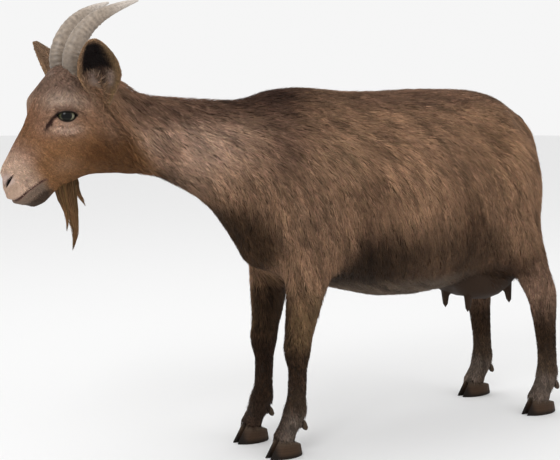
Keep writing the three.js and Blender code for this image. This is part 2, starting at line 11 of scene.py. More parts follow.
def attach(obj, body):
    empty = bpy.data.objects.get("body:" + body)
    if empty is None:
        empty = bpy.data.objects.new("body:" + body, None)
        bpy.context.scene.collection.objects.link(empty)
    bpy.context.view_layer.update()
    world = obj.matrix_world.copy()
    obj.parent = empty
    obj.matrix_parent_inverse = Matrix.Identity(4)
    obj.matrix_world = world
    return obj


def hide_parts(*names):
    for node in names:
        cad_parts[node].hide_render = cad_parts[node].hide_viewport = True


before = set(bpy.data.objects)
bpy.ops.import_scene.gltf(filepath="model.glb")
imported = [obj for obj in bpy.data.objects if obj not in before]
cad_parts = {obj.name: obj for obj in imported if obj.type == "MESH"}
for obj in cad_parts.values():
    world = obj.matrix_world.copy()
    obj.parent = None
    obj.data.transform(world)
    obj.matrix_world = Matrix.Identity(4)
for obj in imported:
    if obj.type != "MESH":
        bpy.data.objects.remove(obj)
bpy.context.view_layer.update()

# ---------------------------------------------------------------- studio
# A wide pale floor under plain, soft light, and the camera at standing eye level, off the goat's
# left shoulder. The long lens keeps the head and the rump in true proportion.
scene = bpy.context.scene
scene.view_settings.view_transform = "Standard"

camera = bpy.data.objects.new("camera", bpy.data.cameras.new("camera"))
camera.data.lens = 87.2
camera.data.clip_end = 60
camera.location = (2.29596, -1.64184, 0.78865)
camera.rotation_euler = Vector((-0.81641, 0.56546, -0.11716)).to_track_quat("-Z", "Y").to_euler()
scene.collection.objects.link(camera)
scene.camera = camera


def shader(name, base=(0.5, 0.5, 0.5), roughness=0.6, **sockets):
    """A new paint: its material, nodes, links and main shader. Sockets have _ for spaces."""
    material = bpy.data.materials.new(name)
    material.use_nodes = True
    nodes = material.node_tree.nodes
    surface = nodes["Principled BSDF"]
    surface.inputs["Base Color"].default_value = (*base, 1)
    surface.inputs["Roughness"].default_value = roughness
    for socket, value in sockets.items():
        surface.inputs[socket.replace("_", " ")].default_value = value
    return material, nodes, material.node_tree.links, surface


floor_reach = 14  # from the middle to the edge, well out of sight
floor_mesh = bmesh.new()
bmesh.ops.create_circle(floor_mesh, cap_ends=True, segments=96, radius=floor_reach)
floor_data = bpy.data.meshes.new("floor")
floor_mesh.to_mesh(floor_data)
floor = bpy.data.objects.new("floor", floor_data)
floor_paint, *_ = shader("studio_floor", (0.86, 0.86, 0.86), 0.9)
floor_data.materials.append(floor_paint)
scene.collection.objects.link(floor)

world = bpy.data.worlds.new("studio")
scene.world = world
world.use_nodes = True
backdrop = world.node_tree.nodes["Background"]
backdrop.inputs["Color"].default_value = (1, 1, 1, 1)
backdrop.inputs["Strength"].default_value = 0.92
goat_middle = Vector((0, 0, 0.45))
for name, place, size, power in (
    ("key", (2.6, -3.2, 3.4), 1.6, 62),
    ("fill", (3.6, 2.6, 2.0), 2.6, 10),
    ("top", (-0.6, 0.4, 3.8), 3.2, 22),
):
    light = bpy.data.objects.new(name, bpy.data.lights.new(name, "AREA"))
    light.data.size = size
    light.data.energy = power
    light.location = place
    light.rotation_euler = (goat_middle - Vector(place)).to_track_quat("-Z", "Y").to_euler()
    scene.collection.objects.link(light)

# ---------------------------------------------------------------- skin
# One hide covers the flesh from the muzzle to the coronets, the ears, tail and udder. It is drawn
# over the parts of the body, evened out, set in by the depth of the coat that grows on it, and
# worked into lids, lips and nostrils.
flesh = ["head", "neck", "trunk", "ear_left", "ear_right", "tail", "udder"]
flesh += [f"leg_{end}_{side}" for end in ("front", "rear") for side in ("left", "right")]
flesh += [f"teat_{end}_{side}" for end in ("front", "rear") for side in ("left", "right")]
hide_grain = 0.0021  # size of the hide's first mesh
flesh_swell = 0.0006  # closes the parts of the body over each other
body_rounds, whole_rounds = 260, 6  # how often the body, then the whole hide, is evened out
spared = 0.93  # how far the head, legs and udder are left out of the first
faces_kept = 0.145  # share of the faces left after thinning
poll = (-0.4554, 0.700)  # y and z where the head's axis meets the neck
head_tilt = math.radians(38)  # how far that axis points below level


def ramp(value, low, high):
    """0 below low, 1 above high, smooth between."""
    t = np.clip((value - low) / (high - low), 0, 1)
    return t * t * (3 - 2 * t)


def ridge(value, width, power=2):
    """1 where value is 0, fading out past width on either side."""
    return np.exp(-((value / width) ** power))


def as_left(points):
    """The points, with those on the goat's right mirrored to its left."""
    return np.abs(points) * (1, 0, 0) + points * (0, 1, 1)


def points_of(mesh, normals=False):
    """A mesh's vertices, or their normals, as rows of an array."""
    out = np.empty(len(mesh.vertices) * 3)
    if normals:
        mesh.vertex_normals.foreach_get("vector", out)
    else:
        mesh.vertices.foreach_get("co", out)
    return out.reshape(-1, 3)


def set_points(mesh, points):
    """Moves the mesh's vertices to these places."""
    mesh.vertices.foreach_set("co", points.ravel())
    mesh.update()


def along_head(points):
    """Head measures of points: across, down the face from the poll, and out from its axis."""
    y, z = points[:, 1] - poll[0], points[:, 2] - poll[1]
    c, s = math.cos(head_tilt), math.sin(head_tilt)
    return points[:, 0], -y * c - z * s, -y * s + z * c


ear_base, ear_tip = np.array((0.066, -0.4874, 0.727)), np.array((0.118, -0.5344, 0.848))
ear_open = np.array((0.80, -0.58, 0.02))  # the way the cup faces
ear_half = 0.041  # widest half width of the blade, unrolled to the cup's mouth
ear_length = np.linalg.norm(ear_tip - ear_base)
ear_axis = (ear_tip - ear_base) / ear_length
ear_facing = ear_open - ear_axis * (ear_open @ ear_axis)
ear_facing /= np.linalg.norm(ear_facing)
ear_across = np.cross(ear_axis, ear_facing)  # from the front edge to the rear one


def ear_shape(u):
    """The blade at a share of its length: half the cup's arc, its radius, thickness and middle."""
    half = ear_half * np.sin(math.pi * np.minimum(u * 0.88 + 0.10, 1)) ** 0.66
    half = half * (0.62 + 0.38 * np.minimum(1, u * 2.4))  # narrow where it leaves the head
    curl = 1.85 - 1.05 * u
    radius = half / np.sin(np.minimum(curl, math.pi / 2))
    sway = 0.009 * np.sin(math.pi * u) + 0.006 * u * u  # the back bows out
    return curl, radius, 0.0054 - 0.0014 * u, 0.014 - sway + radius * np.cos(curl)


def ear_blade(rows=40, columns=45):
    """The left ear: a cupped leaf with a rounded rim, in closed rings."""
    rings = []
    for row in range(rows):
        u = 0.01 + 0.98 * row / (rows - 1)
        curl, radius, thick, middle = ear_shape(u)
        for inner in (False, True):
            v = np.linspace(-1, 1, columns)
            v = v[1:-1][::-1] if inner else v
            at = radius - (thick * np.sqrt(1 - np.abs(v) ** 12) if inner else 0)
            rings.append(
                ear_base + ear_axis * u * ear_length + ear_across * (np.sin(v * curl) * at)[:, None]
                + ear_facing * (middle - np.cos(v * curl) * at)[:, None]
            )
    return np.concatenate(rings).reshape(rows, 2 * columns - 2, 3)


def ear_place(points):
    """Where points are on an ear: up the blade, across it from -1 to 1, and 1 inside the cup."""
    near = as_left(points) - ear_base
    u = np.clip(near @ ear_axis / ear_length, 0.01, 0.99)
    curl, radius, thick, middle = ear_shape(u)
    w, f = near @ ear_across, middle - near @ ear_facing
    return u, np.arctan2(w, f) / curl, ramp(radius - thick / 2 - np.hypot(w, f), -0.0004, 0.0008)


def ring_mesh(name, rings):
    """A closed mesh through the rings, each end closed by a fan to its middle."""
    rows, sides = rings.shape[:2]
    points = [*rings.reshape(-1, 3), rings[0].mean(0), rings[-1].mean(0)]
    faces = []
    for r in range(0, (rows - 1) * sides, sides):
        for c in range(sides):
            d = (c + 1) % sides
            faces.append((r + c, r + d, r + sides + d, r + sides + c))
    faces += [(rows * sides, (c + 1) % sides, c) for c in range(sides)]
    last = (rows - 1) * sides
    faces += [(rows * sides + 1, last + c, last + (c + 1) % sides) for c in range(sides)]
    mesh = bpy.data.meshes.new(name)
    mesh.from_pydata(points, [], faces)
    fix = bmesh.new()
    fix.from_mesh(mesh)
    bmesh.ops.recalc_face_normals(fix, faces=fix.faces)
    fix.to_mesh(mesh)
    fix.free()
    return mesh


def join(name, parts):
    """One mesh of several, welded where their points meet."""
    joined = bmesh.new()
    for part in parts:
        joined.from_mesh(part)
    bmesh.ops.remove_doubles(joined, verts=joined.verts, dist=1e-6)
    mesh = bpy.data.meshes.new(name)
    joined.to_mesh(mesh)
    joined.free()
    return mesh


def piece_of(mesh):
    """A new piece in the scene, named as its mesh is."""
    piece = bpy.data.objects.new(mesh.name, mesh)
    scene.collection.objects.link(piece)
    return piece


def settle(piece):
    """Applies the piece's modifiers to its mesh."""
    graph = bpy.context.evaluated_depsgraph_get()
    graph.update()
    done = bpy.data.meshes.new_from_object(piece.evaluated_get(graph))
    old = piece.data
    piece.modifiers.clear()
    piece.data = done
    piece.vertex_groups.clear()
    bpy.data.meshes.remove(old)
    return done


def recast(piece, grain):
    """Draws one closed skin over the piece's parts, of faces about this size."""
    cast = piece.modifiers.new("cast", "REMESH")
    cast.mode, cast.voxel_size = "VOXEL", grain
    return settle(piece)


bodies = []
for name in [*flesh, "eye_left", "eye_right"]:
    if name.startswith("ear"):
        bodies.append(ring_mesh("blade", ear_blade() * (1 if name == "ear_left" else -1, 1, 1)))
    else:
        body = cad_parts[name].data.copy()
        set_points(body, points_of(body) + flesh_swell * points_of(body, normals=True))
        bodies.append(body)
skin = piece_of(join("skin", bodies))
for body in bodies:
    bpy.data.meshes.remove(body)
hide = recast(skin, hide_grain)

leg_rows = {"front": -0.0874, "rear": 0.6026}  # where the feet stand, along the body
mid_body = 0.25  # between the fore legs and the hind ones


def in_ears(points):
    """1 over the ears' blades, 0 on the head they grow from."""
    x, y, z = np.abs(points[:, 0]), points[:, 1], points[:, 2]
    reach = (x - 0.0605) * 0.9 + (z - 0.745) * 0.25
    along = ramp(y, -0.562, -0.552) * ramp(-y, 0.462, 0.468)
    return ramp(reach, 0, 0.008) * along * ramp(z, 0.712, 0.722)


def on_head(points):
    """1 on the head, 0 behind its join with the neck."""
    _, down, out = along_head(points)
    return ramp(down, -0.03, 0.03) * ramp(out, -0.17, -0.11)


def on_legs(points):
    """1 on the legs, 0 on the shoulders and thighs."""
    y, z = points[:, 1], points[:, 2]
    fore = ramp(-z, -0.40, -0.29) * ramp(-np.abs(y - leg_rows["front"]), -0.12, -0.09)
    hind = ramp(-z, -0.42, -0.30) * ramp(y, 0.50, 0.56)
    return np.maximum(fore, hind)


def on_udder(points):
    """1 on the bag and the teats."""
    x, y, z = points.T
    along = ramp(y, 0.33, 0.37) * ramp(-y, -0.625, -0.60)
    return ramp(-z, -0.40, -0.35) * along * ramp(-np.abs(x), -0.095, -0.08)


def on_tail(points):
    """1 on the tail, which hangs flat against the rump."""
    x, y, z = points.T
    return ramp(y, 0.600, 0.615) * ramp(-np.abs(x), -0.026, -0.018) * ramp(-z, -0.66, -0.62)


def weigh(piece, weights, levels):
    """Gives the piece's points weights from 0 to 1, in so many levels, for a modifier to read."""
    group = piece.vertex_groups.new(name="weight")
    steps = np.round(np.clip(weights, 0, 1) * levels).astype(int)
    for step in np.unique(steps):
        group.add(np.flatnonzero(steps == step).tolist(), step / levels, "REPLACE")
    return group.name


def even_out(piece, weights, rounds):
    """Smooths the piece's mesh, each point by its weight."""
    even = piece.modifiers.new("even", "SMOOTH")
    even.factor = 0.5
    even.iterations = rounds
    even.vertex_group = weigh(piece, weights, 50)
    return settle(piece)


# the trunk and neck are evened out most, and the ears keep their edges
at = points_of(hide)
fixed = np.maximum.reduce([on_head(at), on_legs(at), on_udder(at)])
hide = even_out(skin, (1 - spared * fixed) * (1 - in_ears(at)), body_rounds)
hide = even_out(skin, np.full(len(hide.vertices), 0.5), whole_rounds)

# thinned where the body is broad, kept fine over the head, the ears and the feet
at = points_of(hide)
fine = np.maximum(on_head(at), ramp(-at[:, 2], -0.14, -0.10) * 0.5)
thin = skin.modifiers.new("thin", "DECIMATE")
thin.ratio = faces_kept
thin.vertex_group = weigh(skin, 1 - fine, 20)
hide = settle(skin)


def part_finer(zone):
    """Splits the hide's faces where zone(points) says so, for folds that need a finer mesh."""
    work = bmesh.new()
    work.from_mesh(hide)
    if any(len(f.verts) > 3 for f in work.faces):
        bmesh.ops.triangulate(work, faces=work.faces)
    inside = zone(np.array([v.co for v in work.verts]))
    edges = [e for e in work.edges if inside[e.verts[0].index] and inside[e.verts[1].index]]
    bmesh.ops.subdivide_edges(work, edges=edges, cuts=1, use_grid_fill=True)
    bmesh.ops.triangulate(work, faces=[f for f in work.faces if len(f.verts) > 3])
    work.to_mesh(hide)
    work.free()


eye_out = np.array((0.925, -0.365, 0.10))  # the way the left eye looks
eye_out /= np.linalg.norm(eye_out)
eye_radius = 0.0187
eye_set_in = 0.0022  # how deep the ball sits in its socket
eye_centre = np.array((0.049, -0.5571, 0.705)) - eye_set_in * eye_out
nose_way = np.array((0, -math.cos(head_tilt), -math.sin(head_tilt)))  # down the face


def from_eye(points):
    """How far the points are from the middle of the nearer eye."""
    return np.linalg.norm(as_left(points) - eye_centre, axis=1)


def on_muzzle(points):
    """True over the nose, the lips and the chin."""
    _, down, out = along_head(points)
    return (down > 0.165) & (out < 0.062)


part_finer(lambda p: (from_eye(p) < 0.034) | on_muzzle(p))
part_finer(lambda p: from_eye(p) < 0.024)

# set in by the depth of the coat
body_depth = 0.010
at = points_of(hide)
head = on_head(at)
depth = body_depth
for zone, hair_depth in (
    (head, 0.0022),
    (on_legs(at), 0.0045),
    (ramp(-at[:, 2], -0.20, -0.12) * (1 - head), 0.0022),  # below the knees and hocks
    (on_udder(at), 0.0015),
    (ramp(along_head(at)[1], 0.14, 0.20) * head, 0.0010),  # muzzle
    (in_ears(at), 0.0006),
    (on_tail(at), 0.0035),
):
    depth = depth + (hair_depth - depth) * zone
depth *= 1 - ramp(-from_eye(at), -0.034, -0.022)
set_points(hide, at - depth[:, None] * points_of(hide, normals=True))

# lids: the hide drawn over each eyeball and open in an almond, low over the pupil
eye_back = np.cross((0, 0, 1), eye_out)
eye_back /= np.linalg.norm(eye_back)  # along the lids, from the inner corner to the outer
eye_up = np.cross(eye_out, eye_back)
lid_mid, lid_corner = 0.0010, 0.0176  # the middle between the corners, and from it to each
lid_top, lid_low = 0.0052, 0.0100  # how far the lids open over and under the corners' line
lid_line = 0.0016  # the corners' line over the middle of the ball
lid_thick = 0.0019
eye_reach = 0.052  # how far from the eye the lids' folds run out into the face


def eye_frame(points, side):
    """Measures at an eye: along the lids towards the ear, up, and out from the ball's middle."""
    local = points * (side, 1, 1) - eye_centre
    return local @ eye_back, local @ eye_up, local @ eye_out


def lid_gap(a, b):
    """How far a place lies outside the opening between the lids: below 0 is inside."""
    a = a - lid_mid
    u = np.clip(a / lid_corner, -1, 1)
    rise = 1 - u * u
    upper = lid_line + lid_top * rise ** 0.7
    lower = lid_line - lid_low * rise ** 0.8
    edge = np.maximum(b - upper, lower - b)
    beyond = np.hypot(np.abs(a) - lid_corner, b - lid_line)
    return np.where(np.abs(a) > lid_corner, np.maximum(beyond, 0), edge)


def tear_gap(a, b):
    """Across the tear groove, which runs forwards and down from the inner corner: how far off it a
    place is, and how far along it, in metres."""
    run = lid_mid - lid_corner - a
    return b - (lid_line + 0.0012 - 1.1 * run), run


def tear_wedge(a, b):
    """1 in the wedge of the tear groove, which is painted dark as shade."""
    off, run = tear_gap(a, b)
    wide = 0.0056 + 0.0014 * ramp(run, 0.002, 0.010) - 0.0022 * ramp(run, 0.014, 0.024)
    return ridge(off + 0.0004, wide, 4) * ramp(run, -0.006, -0.001) * (1 - ramp(run, 0.019, 0.027))


def bag_crease(a, b):
    """1 along the crease under the bag below the eye."""
    arc = -0.0368 + 8.0 * (a + 0.0095) ** 2
    return ridge(b - arc, 0.0026) * ramp(a, -0.022, -0.008) * (1 - ramp(a, 0.028, 0.040))


def lid_fold(a, b):
    """How far over the fold above the upper lid a place is; the fold runs on behind the eye."""
    bend = np.where(a < 0.002, 9.0, 4.0) * (a - 0.002) ** 2
    return b - (lid_line + 0.0100 - 0.06 * a - bend)


def soft_max(a, b, blend):
    """The greater of a and b, rounded where they cross."""
    return 0.5 * (a + b + np.sqrt((a - b) ** 2 + blend * blend))


def bowl(a, b):
    """Terms of the shallow bowl that is fitted to the face round an eye."""
    return np.stack([np.ones_like(a), a, b, a * a, a * b, b * b], -1)


at = points_of(hide)
for side in (1, -1):
    a, b, c = eye_frame(at, side)
    spread = np.hypot(a, b)
    near = (spread < eye_reach) & (c > -0.03) & (at[:, 0] * side > 0.005)
    rim = near & (spread > 0.027) & (spread < 0.045)
    fit, *_ = np.linalg.lstsq(bowl(a[rim], b[rim]), c[rim], rcond=None)
    a, b, c, spread = a[near], b[near], c[near], spread[near]
    mix = ramp(spread, 0.018, 0.034)
    face = bowl(a, b) @ fit * (1 - mix) + c * mix
    # the socket's rim stands out over the eye, and the bag under it sags from a crease
    face += 0.0030 * ridge(b - 0.020, 0.006) * ridge(a, 0.020)
    face += 0.0020 * ridge(b + 0.0135 - 12.5 * a * a, 0.0036) * ridge(a, 0.018)
    face -= 0.0016 * ridge(b + 0.0210 - 15.0 * a * a, 0.0022) * ridge(a, 0.019)
    lid_radius = eye_radius + lid_thick
    ball = np.sqrt(np.maximum(lid_radius**2 - spread**2, 0)) - 0.03 * (spread > lid_radius)
    height = soft_max(face, ball, 0.0030)
    # the tear groove, the crease under the bag, and the fold over the upper lid
    off, run = tear_gap(a, b)
    height -= 0.0036 * ridge(off, 0.0042) * ramp(run, -0.003, 0.001) * (1 - ramp(run, 0.012, 0.025))
    height -= 0.0012 * bag_crease(a, b)
    fold = ridge(lid_fold(a, b), 0.0016) * ramp(a, -0.018, -0.010) * (1 - ramp(a, 0.020, 0.030))
    height -= 0.0014 * fold
    # a raised edge to the lids, and a fine crease in the lower one
    gap = lid_gap(a, b)
    height += 0.0005 * ridge(gap - 0.0015, 0.0012)
    height -= 0.0007 * ridge(gap - 0.0040, 0.0010) * (b < 0) * (np.abs(a) < 0.016)
    # between the lids the hide lies out of sight inside the ball
    hollow = np.sqrt(np.maximum((eye_radius - 0.0018) ** 2 - spread**2, 0))
    height = np.where(gap < 0, np.minimum(height, hollow), height)
    local = eye_centre + a[:, None] * eye_back + b[:, None] * eye_up + height[:, None] * eye_out
    fade = (1 - ramp(spread, 0.040, eye_reach))[:, None]
    at[near] = at[near] * (1 - fade) + local * (side, 1, 1) * fade
set_points(hide, at)


def lip_reach(down, out):
    """How far the lips stand forwards of the cast muzzle, parted in front of the mouth."""
    heights = [-0.036, -0.026, -0.016, -0.0075, -0.002, 0.001, 0.0066, 0.020, 0.036, 0.056, 0.070]
    reach = [0, 0.0030, 0.0085, 0.0110, 0.0075, 0.0070, 0.0105, 0.0065, 0.0028, 0.0012, 0]
    return np.interp(out, heights, reach) * ramp(down, 0.180, 0.228)


def mouth_at(down):
    """The height of the mouth's line, out from the head's axis; it turns up towards the cheek."""
    return -0.0045 + 0.0060 * np.sin(math.pi * np.clip((down - 0.170) / 0.080, 0, 1))


at = points_of(hide)
_, down, out = along_head(at)
set_points(hide, at + (lip_reach(down, out) * on_head(at))[:, None] * nose_way)

# the closed mouth, the lips that roll in to it, and the groove down the upper lip
at = points_of(hide)
normals = points_of(hide, normals=True)
across, down, out = along_head(at)
lip = out - mouth_at(down)
mouth = ridge(lip, 0.0016) * ramp(down, 0.172, 0.184)
rolls = ridge(lip - 0.006, 0.0045) + 0.8 * ridge(lip + 0.0055, 0.004)
push = -0.0042 * mouth + 0.0011 * rolls * ramp(down, 0.176, 0.196)
groove = ridge(across, 0.0014) * ramp(down, 0.212, 0.226) * ramp(lip, 0, 0.004)
push -= 0.0026 * groove * (1 - ramp(out, 0.030, 0.042))
set_points(hide, at + normals * push[:, None])

# each nostril is a curved slit, from its wide inner end up and back to a point
nostril_path = np.array((
    (0.0045, 0.2320, 0.0300), (0.0085, 0.2300, 0.0338), (0.0132, 0.2262, 0.0366),
    (0.0180, 0.2215, 0.0390), (0.0225, 0.2165, 0.0414), (0.0252, 0.2105, 0.0440),
))


def nostril_at(points):
    """How far points are from a nostril's slit, how far along it, and its half width there."""
    across, down, out = along_head(points)
    scale = np.array((1, 0.5, 1))  # deep into the nose counts half
    local = np.stack([np.abs(across), down, out], -1) * scale
    best, along = np.full(len(points), 1.0), np.zeros(len(points))
    path = nostril_path * scale
    for i, (p, q) in enumerate(zip(path[:-1], path[1:])):
        t = np.clip(((local - p) @ (q - p)) / ((q - p) @ (q - p)), 0, 1)
        d = np.linalg.norm(local - p - t[:, None] * (q - p), axis=1)
        along = np.where(d < best, (i + t) / (len(path) - 1), along)
        best = np.minimum(best, d)
    slit = 0.0038 * np.sin(math.pi * np.clip(0.24 + 0.68 * along, 0, 1)) ** 1.2
    return best, along, slit * (1 - 0.45 * along) + 0.0007


at = points_of(hide)
best, along, slit = nostril_at(at)
wing = 0.0020 * ridge(best - slit - 0.0036, 0.0032) * (1 - 0.3 * along)
hole = 0.0065 * (1 - ramp(best, 0, slit * 1.3)) * (1 - 0.65 * along)
push = np.where(best < slit * 1.3, wing - hole, wing)
set_points(hide, at + points_of(hide, normals=True) * push[:, None])
hide.shade_smooth()


def linear(*rgb):
    """A colour given as 0 to 255 steps on a screen, as light."""
    c = np.array(rgb) / 255
    return np.where(c <= 0.04045, c / 12.92, ((c + 0.055) / 1.055) ** 2.4)


def blob(points, centre, size):
    """1 at the centre of an oval patch, fading to 0 past its size; the same on both sides."""
    return np.exp(-(((as_left(points) - centre) / size) ** 2).sum(1))


coat_light = 1.95  # how much brighter hair is than it looks in its own shade
spine_line = (  # places along the body, and the back's height there
    [-0.42, -0.25, -0.10, 0.0, 0.15, 0.50, 0.62, 0.70],
    [0.735, 0.725, 0.745, 0.750, 0.735, 0.740, 0.700, 0.62],
)
throat_line = (  # the same for the throat and breast
    [-0.42, -0.35, -0.30, -0.24, -0.20, -0.17, -0.13, -0.10],
    [0.632, 0.580, 0.545, 0.490, 0.472, 0.460, 0.430, 0.37],
)


def coat_colour(points):
    """The goat's markings and painted shade: warm brown, darker over the withers and on the legs,
    darker under the neck and belly from its own hair and from painted shade, paler on the neck and
    face."""
    x, y, z = points.T
    _, down, out = along_head(points)
    head, legs = on_head(points), on_legs(points)
    colour = np.tile(linear(116, 90, 70), (len(points), 1))

    def tint(amount, *rgb):
        """Turns the coat towards a colour, by an amount from 0 to 1."""
        nonlocal colour
        colour = colour + (linear(*rgb) - colour) * np.clip(amount, 0, 1)[:, None]

    def patch_on(y0, z0, long, tall):
        """1 at a place on the side of the body, fading to 0 round it."""
        return ridge(y - y0, long) * ridge(z - z0, tall)

    top = np.interp(y, *spine_line)
    under = np.interp(y, *throat_line)
    crest = ramp(z, top - 0.060, top - 0.015) * ramp(-y, 0.02, 0.16) * ramp(y, -0.50, -0.40)
    tint(patch_on(-0.30, 0.655, 0.14, 0.075), 146, 121, 104)  # side of the neck
    tint(0.5 * patch_on(-0.05, 0.53, 0.06, 0.10), 102, 80, 65)  # shoulder
    tint(0.55 * patch_on(-0.345, 0.632, 0.035, 0.040), 92, 66, 50)  # behind the jaw
    tint(0.8 * crest, 84, 62, 50)
    tint(0.5 * patch_on(-0.385, 0.698, 0.040, 0.020), 122, 95, 77)  # nape
    tint(0.55 * patch_on(0.020, 0.625, 0.045, 0.045), 132, 106, 84)  # behind the shoulder
    tint(0.45 * patch_on(0.170, 0.605, 0.090, 0.045), 130, 102, 80)  # ribs
    tint(0.55 * patch_on(-0.175, 0.535, 0.035, 0.040), 84, 64, 50)  # point of the shoulder
    tint(patch_on(-0.11, 0.745, 0.14, 0.055), 38, 24, 18)  # withers
    tint(0.6 * patch_on(-0.11, 0.660, 0.045, 0.080), 78, 58, 49)  # and down from them
    tint(0.8 * ramp(z, top - 0.040, top - 0.010) * ramp(y, 0.02, 0.10), 88, 66, 53)  # back
    tint(0.5 * patch_on(0.46, 0.64, 0.10, 0.09), 124, 96, 72)  # rump
    # painted shadow: the throat and breast are darkened under the neck
    deep = np.interp(y, [-0.40, -0.27, -0.19], [0.018, 0.040, 0.085])
    breast_shadow = ramp(under + deep - z, -0.01, 0.6 * deep) * ramp(-y, 0.085, 0.125) * (1 - head)
    tint(0.95 * breast_shadow, 44, 31, 20)  # throat and breast
    # painted shade in the fold behind the elbow
    tint(0.9 * patch_on(0.075, 0.425, 0.042, 0.085), 40, 28, 22)  # behind the elbow
    tint(0.5 * patch_on(0.080, 0.540, 0.035, 0.060), 88, 66, 51)  # and above it
    # painted shade in the hollow of the flank
    tint(0.75 * patch_on(0.345, 0.470, 0.055, 0.080), 64, 45, 32)  # hollow of the flank
    # low flank and belly: darker hair there, with painted shade under the body
    side = ramp(y - 0.9 * (z - 0.40), 0.0, 0.06) * ramp(-y, -0.52, -0.42)
    flank = np.interp(y, [0.12, 0.28], [0.95, 0.70]) * ramp(-z, -0.515, -0.420)
    tint(flank * side, 38, 27, 18)  # low flank
    tint(0.95 * ramp(-z, -0.375, -0.335) * side, 78, 66, 55)  # belly
    thigh = ramp(y, 0.40, 0.46)
    tint(thigh * ramp(-z, -0.45, -0.36), 64, 47, 35)
    tint(legs * ramp(y, 0.3, 0.4), 108, 85, 70)  # hind legs
    tint(legs * ramp(-y, -0.2, -0.1), 92, 72, 51)  # fore legs
    joint = np.where(y > mid_body, -0.30, -0.27)
    tint(legs * ramp(-z, joint, -0.205), 46, 33, 23)  # knees and hocks
    tint(legs * 0.9 * ramp(-z, -0.17, -0.12), 62, 49, 38)  # cannons
    tint(legs * 0.9 * ramp(-z, -0.115, -0.08), 88, 77, 69)  # pasterns
    # painted shade on the insides of the legs and thighs, the sides turned from the light
    inner = ramp(-z, -0.42, -0.34) * ramp(-np.abs(x), -0.092, -0.060)
    tint(0.9 * inner * np.clip(np.maximum(2 * legs, thigh), 0, 1), 36, 24, 16)  # insides
    tint(on_udder(points), 42, 29, 19)
    # the head: a brown cheek, a greyer forehead, and a pale muzzle and rings round the eyes
    behind = ramp(-out, -0.02, 0.03)  # the lower half of the head, towards the throat
    tint(head, 108, 76, 49)
    tint(head * behind * ramp(-down, -0.15, -0.10), 88, 60, 36)  # jaw
    tint(0.45 * head * ramp(-down, -0.105, -0.055) * behind, 56, 35, 19)  # its corner
    upper = ramp(out, -0.05, 0.0)
    tint(0.8 * head * ramp(-down, -0.075, -0.02) * upper, 100, 77, 62)  # under the ear
    tint(head * ramp(out, 0.080, 0.105) * ramp(-down, -0.12, -0.06), 100, 80, 68)  # forehead
    stop = ridge(down - 0.115, 0.03) * ramp(out, 0.04, 0.07)
    tint(0.7 * head * stop, 100, 70, 52)  # under the brow
    bridge = ramp(down, 0.135, 0.19) * ramp(out, 0.02, 0.06)
    tint(head * 0.9 * bridge, 130, 102, 86)  # of the nose
    for amount, centre, size, rgb in (
        (0.80, (0.056, -0.500, 0.645), (0.050, 0.044, 0.026), (74, 47, 26)),  # cheek
        (0.60, (0.045, -0.560, 0.617), (0.050, 0.026, 0.016), (122, 94, 72)),  # before the cheek
        (0.85, (0.052, -0.565, 0.706), (0.050, 0.044, 0.036), (122, 96, 80)),  # round the eye
        (0.95, (0.052, -0.560, 0.736), (0.040, 0.034, 0.017), (138, 121, 108)),  # brow
        (0.90, (0.052, -0.560, 0.684), (0.040, 0.027, 0.010), (146, 123, 108)),  # under the eye
    ):
        tint(amount * blob(points, centre, size), *rgb)
    tint(head * ramp(down, 0.165, 0.205) * ramp(out, -0.02, 0), 154, 130, 113)  # muzzle
    tint(0.7 * head * ramp(down, 0.214, 0.224) * ramp(out, 0.026, 0.034), 166, 146, 138)  # nose
    lip = mouth_at(down) - out
    tint(head * ramp(down, 0.168, 0.186) * ramp(lip, 0.001, 0.004), 98, 82, 70)  # lower lip
    tint(head * ramp(down, 0.160, 0.186) * ramp(lip, 0.014, 0.024), 54, 42, 33)  # chin
    tint(head * ridge(lip + 0.0010, 0.0036, 4) * ramp(down, 0.166, 0.174), 76, 52, 46)  # lips
    # painted shade darkens the crease under the bag, the fold over the lids and the tear groove
    for side in (1, -1):  # dark rims to the lids, the fold over them, and the tear groove
        a, b, c = eye_frame(points, side)
        here = (np.hypot(a, b) < 0.05) & (np.abs(c) < 0.035)
        fold = ridge(lid_fold(a, b), 0.0024) * ramp(a, -0.018, -0.012) * (1 - ramp(a, 0.024, 0.040))
        tint(0.6 * bag_crease(a, b) * here, 84, 59, 42)
        tint(0.75 * fold * here, 76, 53, 43)
        tint(tear_wedge(a, b) * here, 40, 23, 18)
        tint(ramp(-lid_gap(a, b), -0.0044, -0.0018) * here, 20, 13, 10)
    # ears: brown backs, a tan rim brightened with painted light, a hollow made near-black with
    # painted shade, and pale hair low inside
    up, over, cup = ear_place(points)
    ears = in_ears(points)
    tint(ears, 104, 82, 64)
    # the tan rim: partly its own hair, partly painted light along the edge
    rim = np.maximum(ramp(np.abs(over), 0.78, 0.95), ramp(up, 0.90, 0.97)) * ramp(up, 0.12, 0.35)
    tint(ears * rim, 120, 94, 70)
    hollow = ears * cup * ramp(-up, -0.95, -0.86)
    tint(hollow * ramp(over, 0.30, 0.55), 108, 86, 62)
    # painted shade deep in the cup
    cup_shade = ramp(over, -0.80, -0.66) * ramp(-over, -0.60, -0.36) * ramp(up, 0.36, 0.46)
    tint(hollow * cup_shade, 20, 14, 13)
    folds = (ridge(over + 0.38, 0.24) + ridge(over - 0.36, 0.24)) * ramp(up, 0.16, 0.24)
    tint(0.7 * hollow * folds * ramp(-up, -0.44, -0.34), 124, 108, 100)  # pale hair low in the cup
    # painted shade in the opening of the ear canal
    canal_shade = ridge(over, 0.16) * ramp(up, 0.16, 0.28) * ramp(-up, -0.48, -0.42)
    tint(0.9 * hollow * canal_shade, 38, 26, 22)
    return colour * coat_light


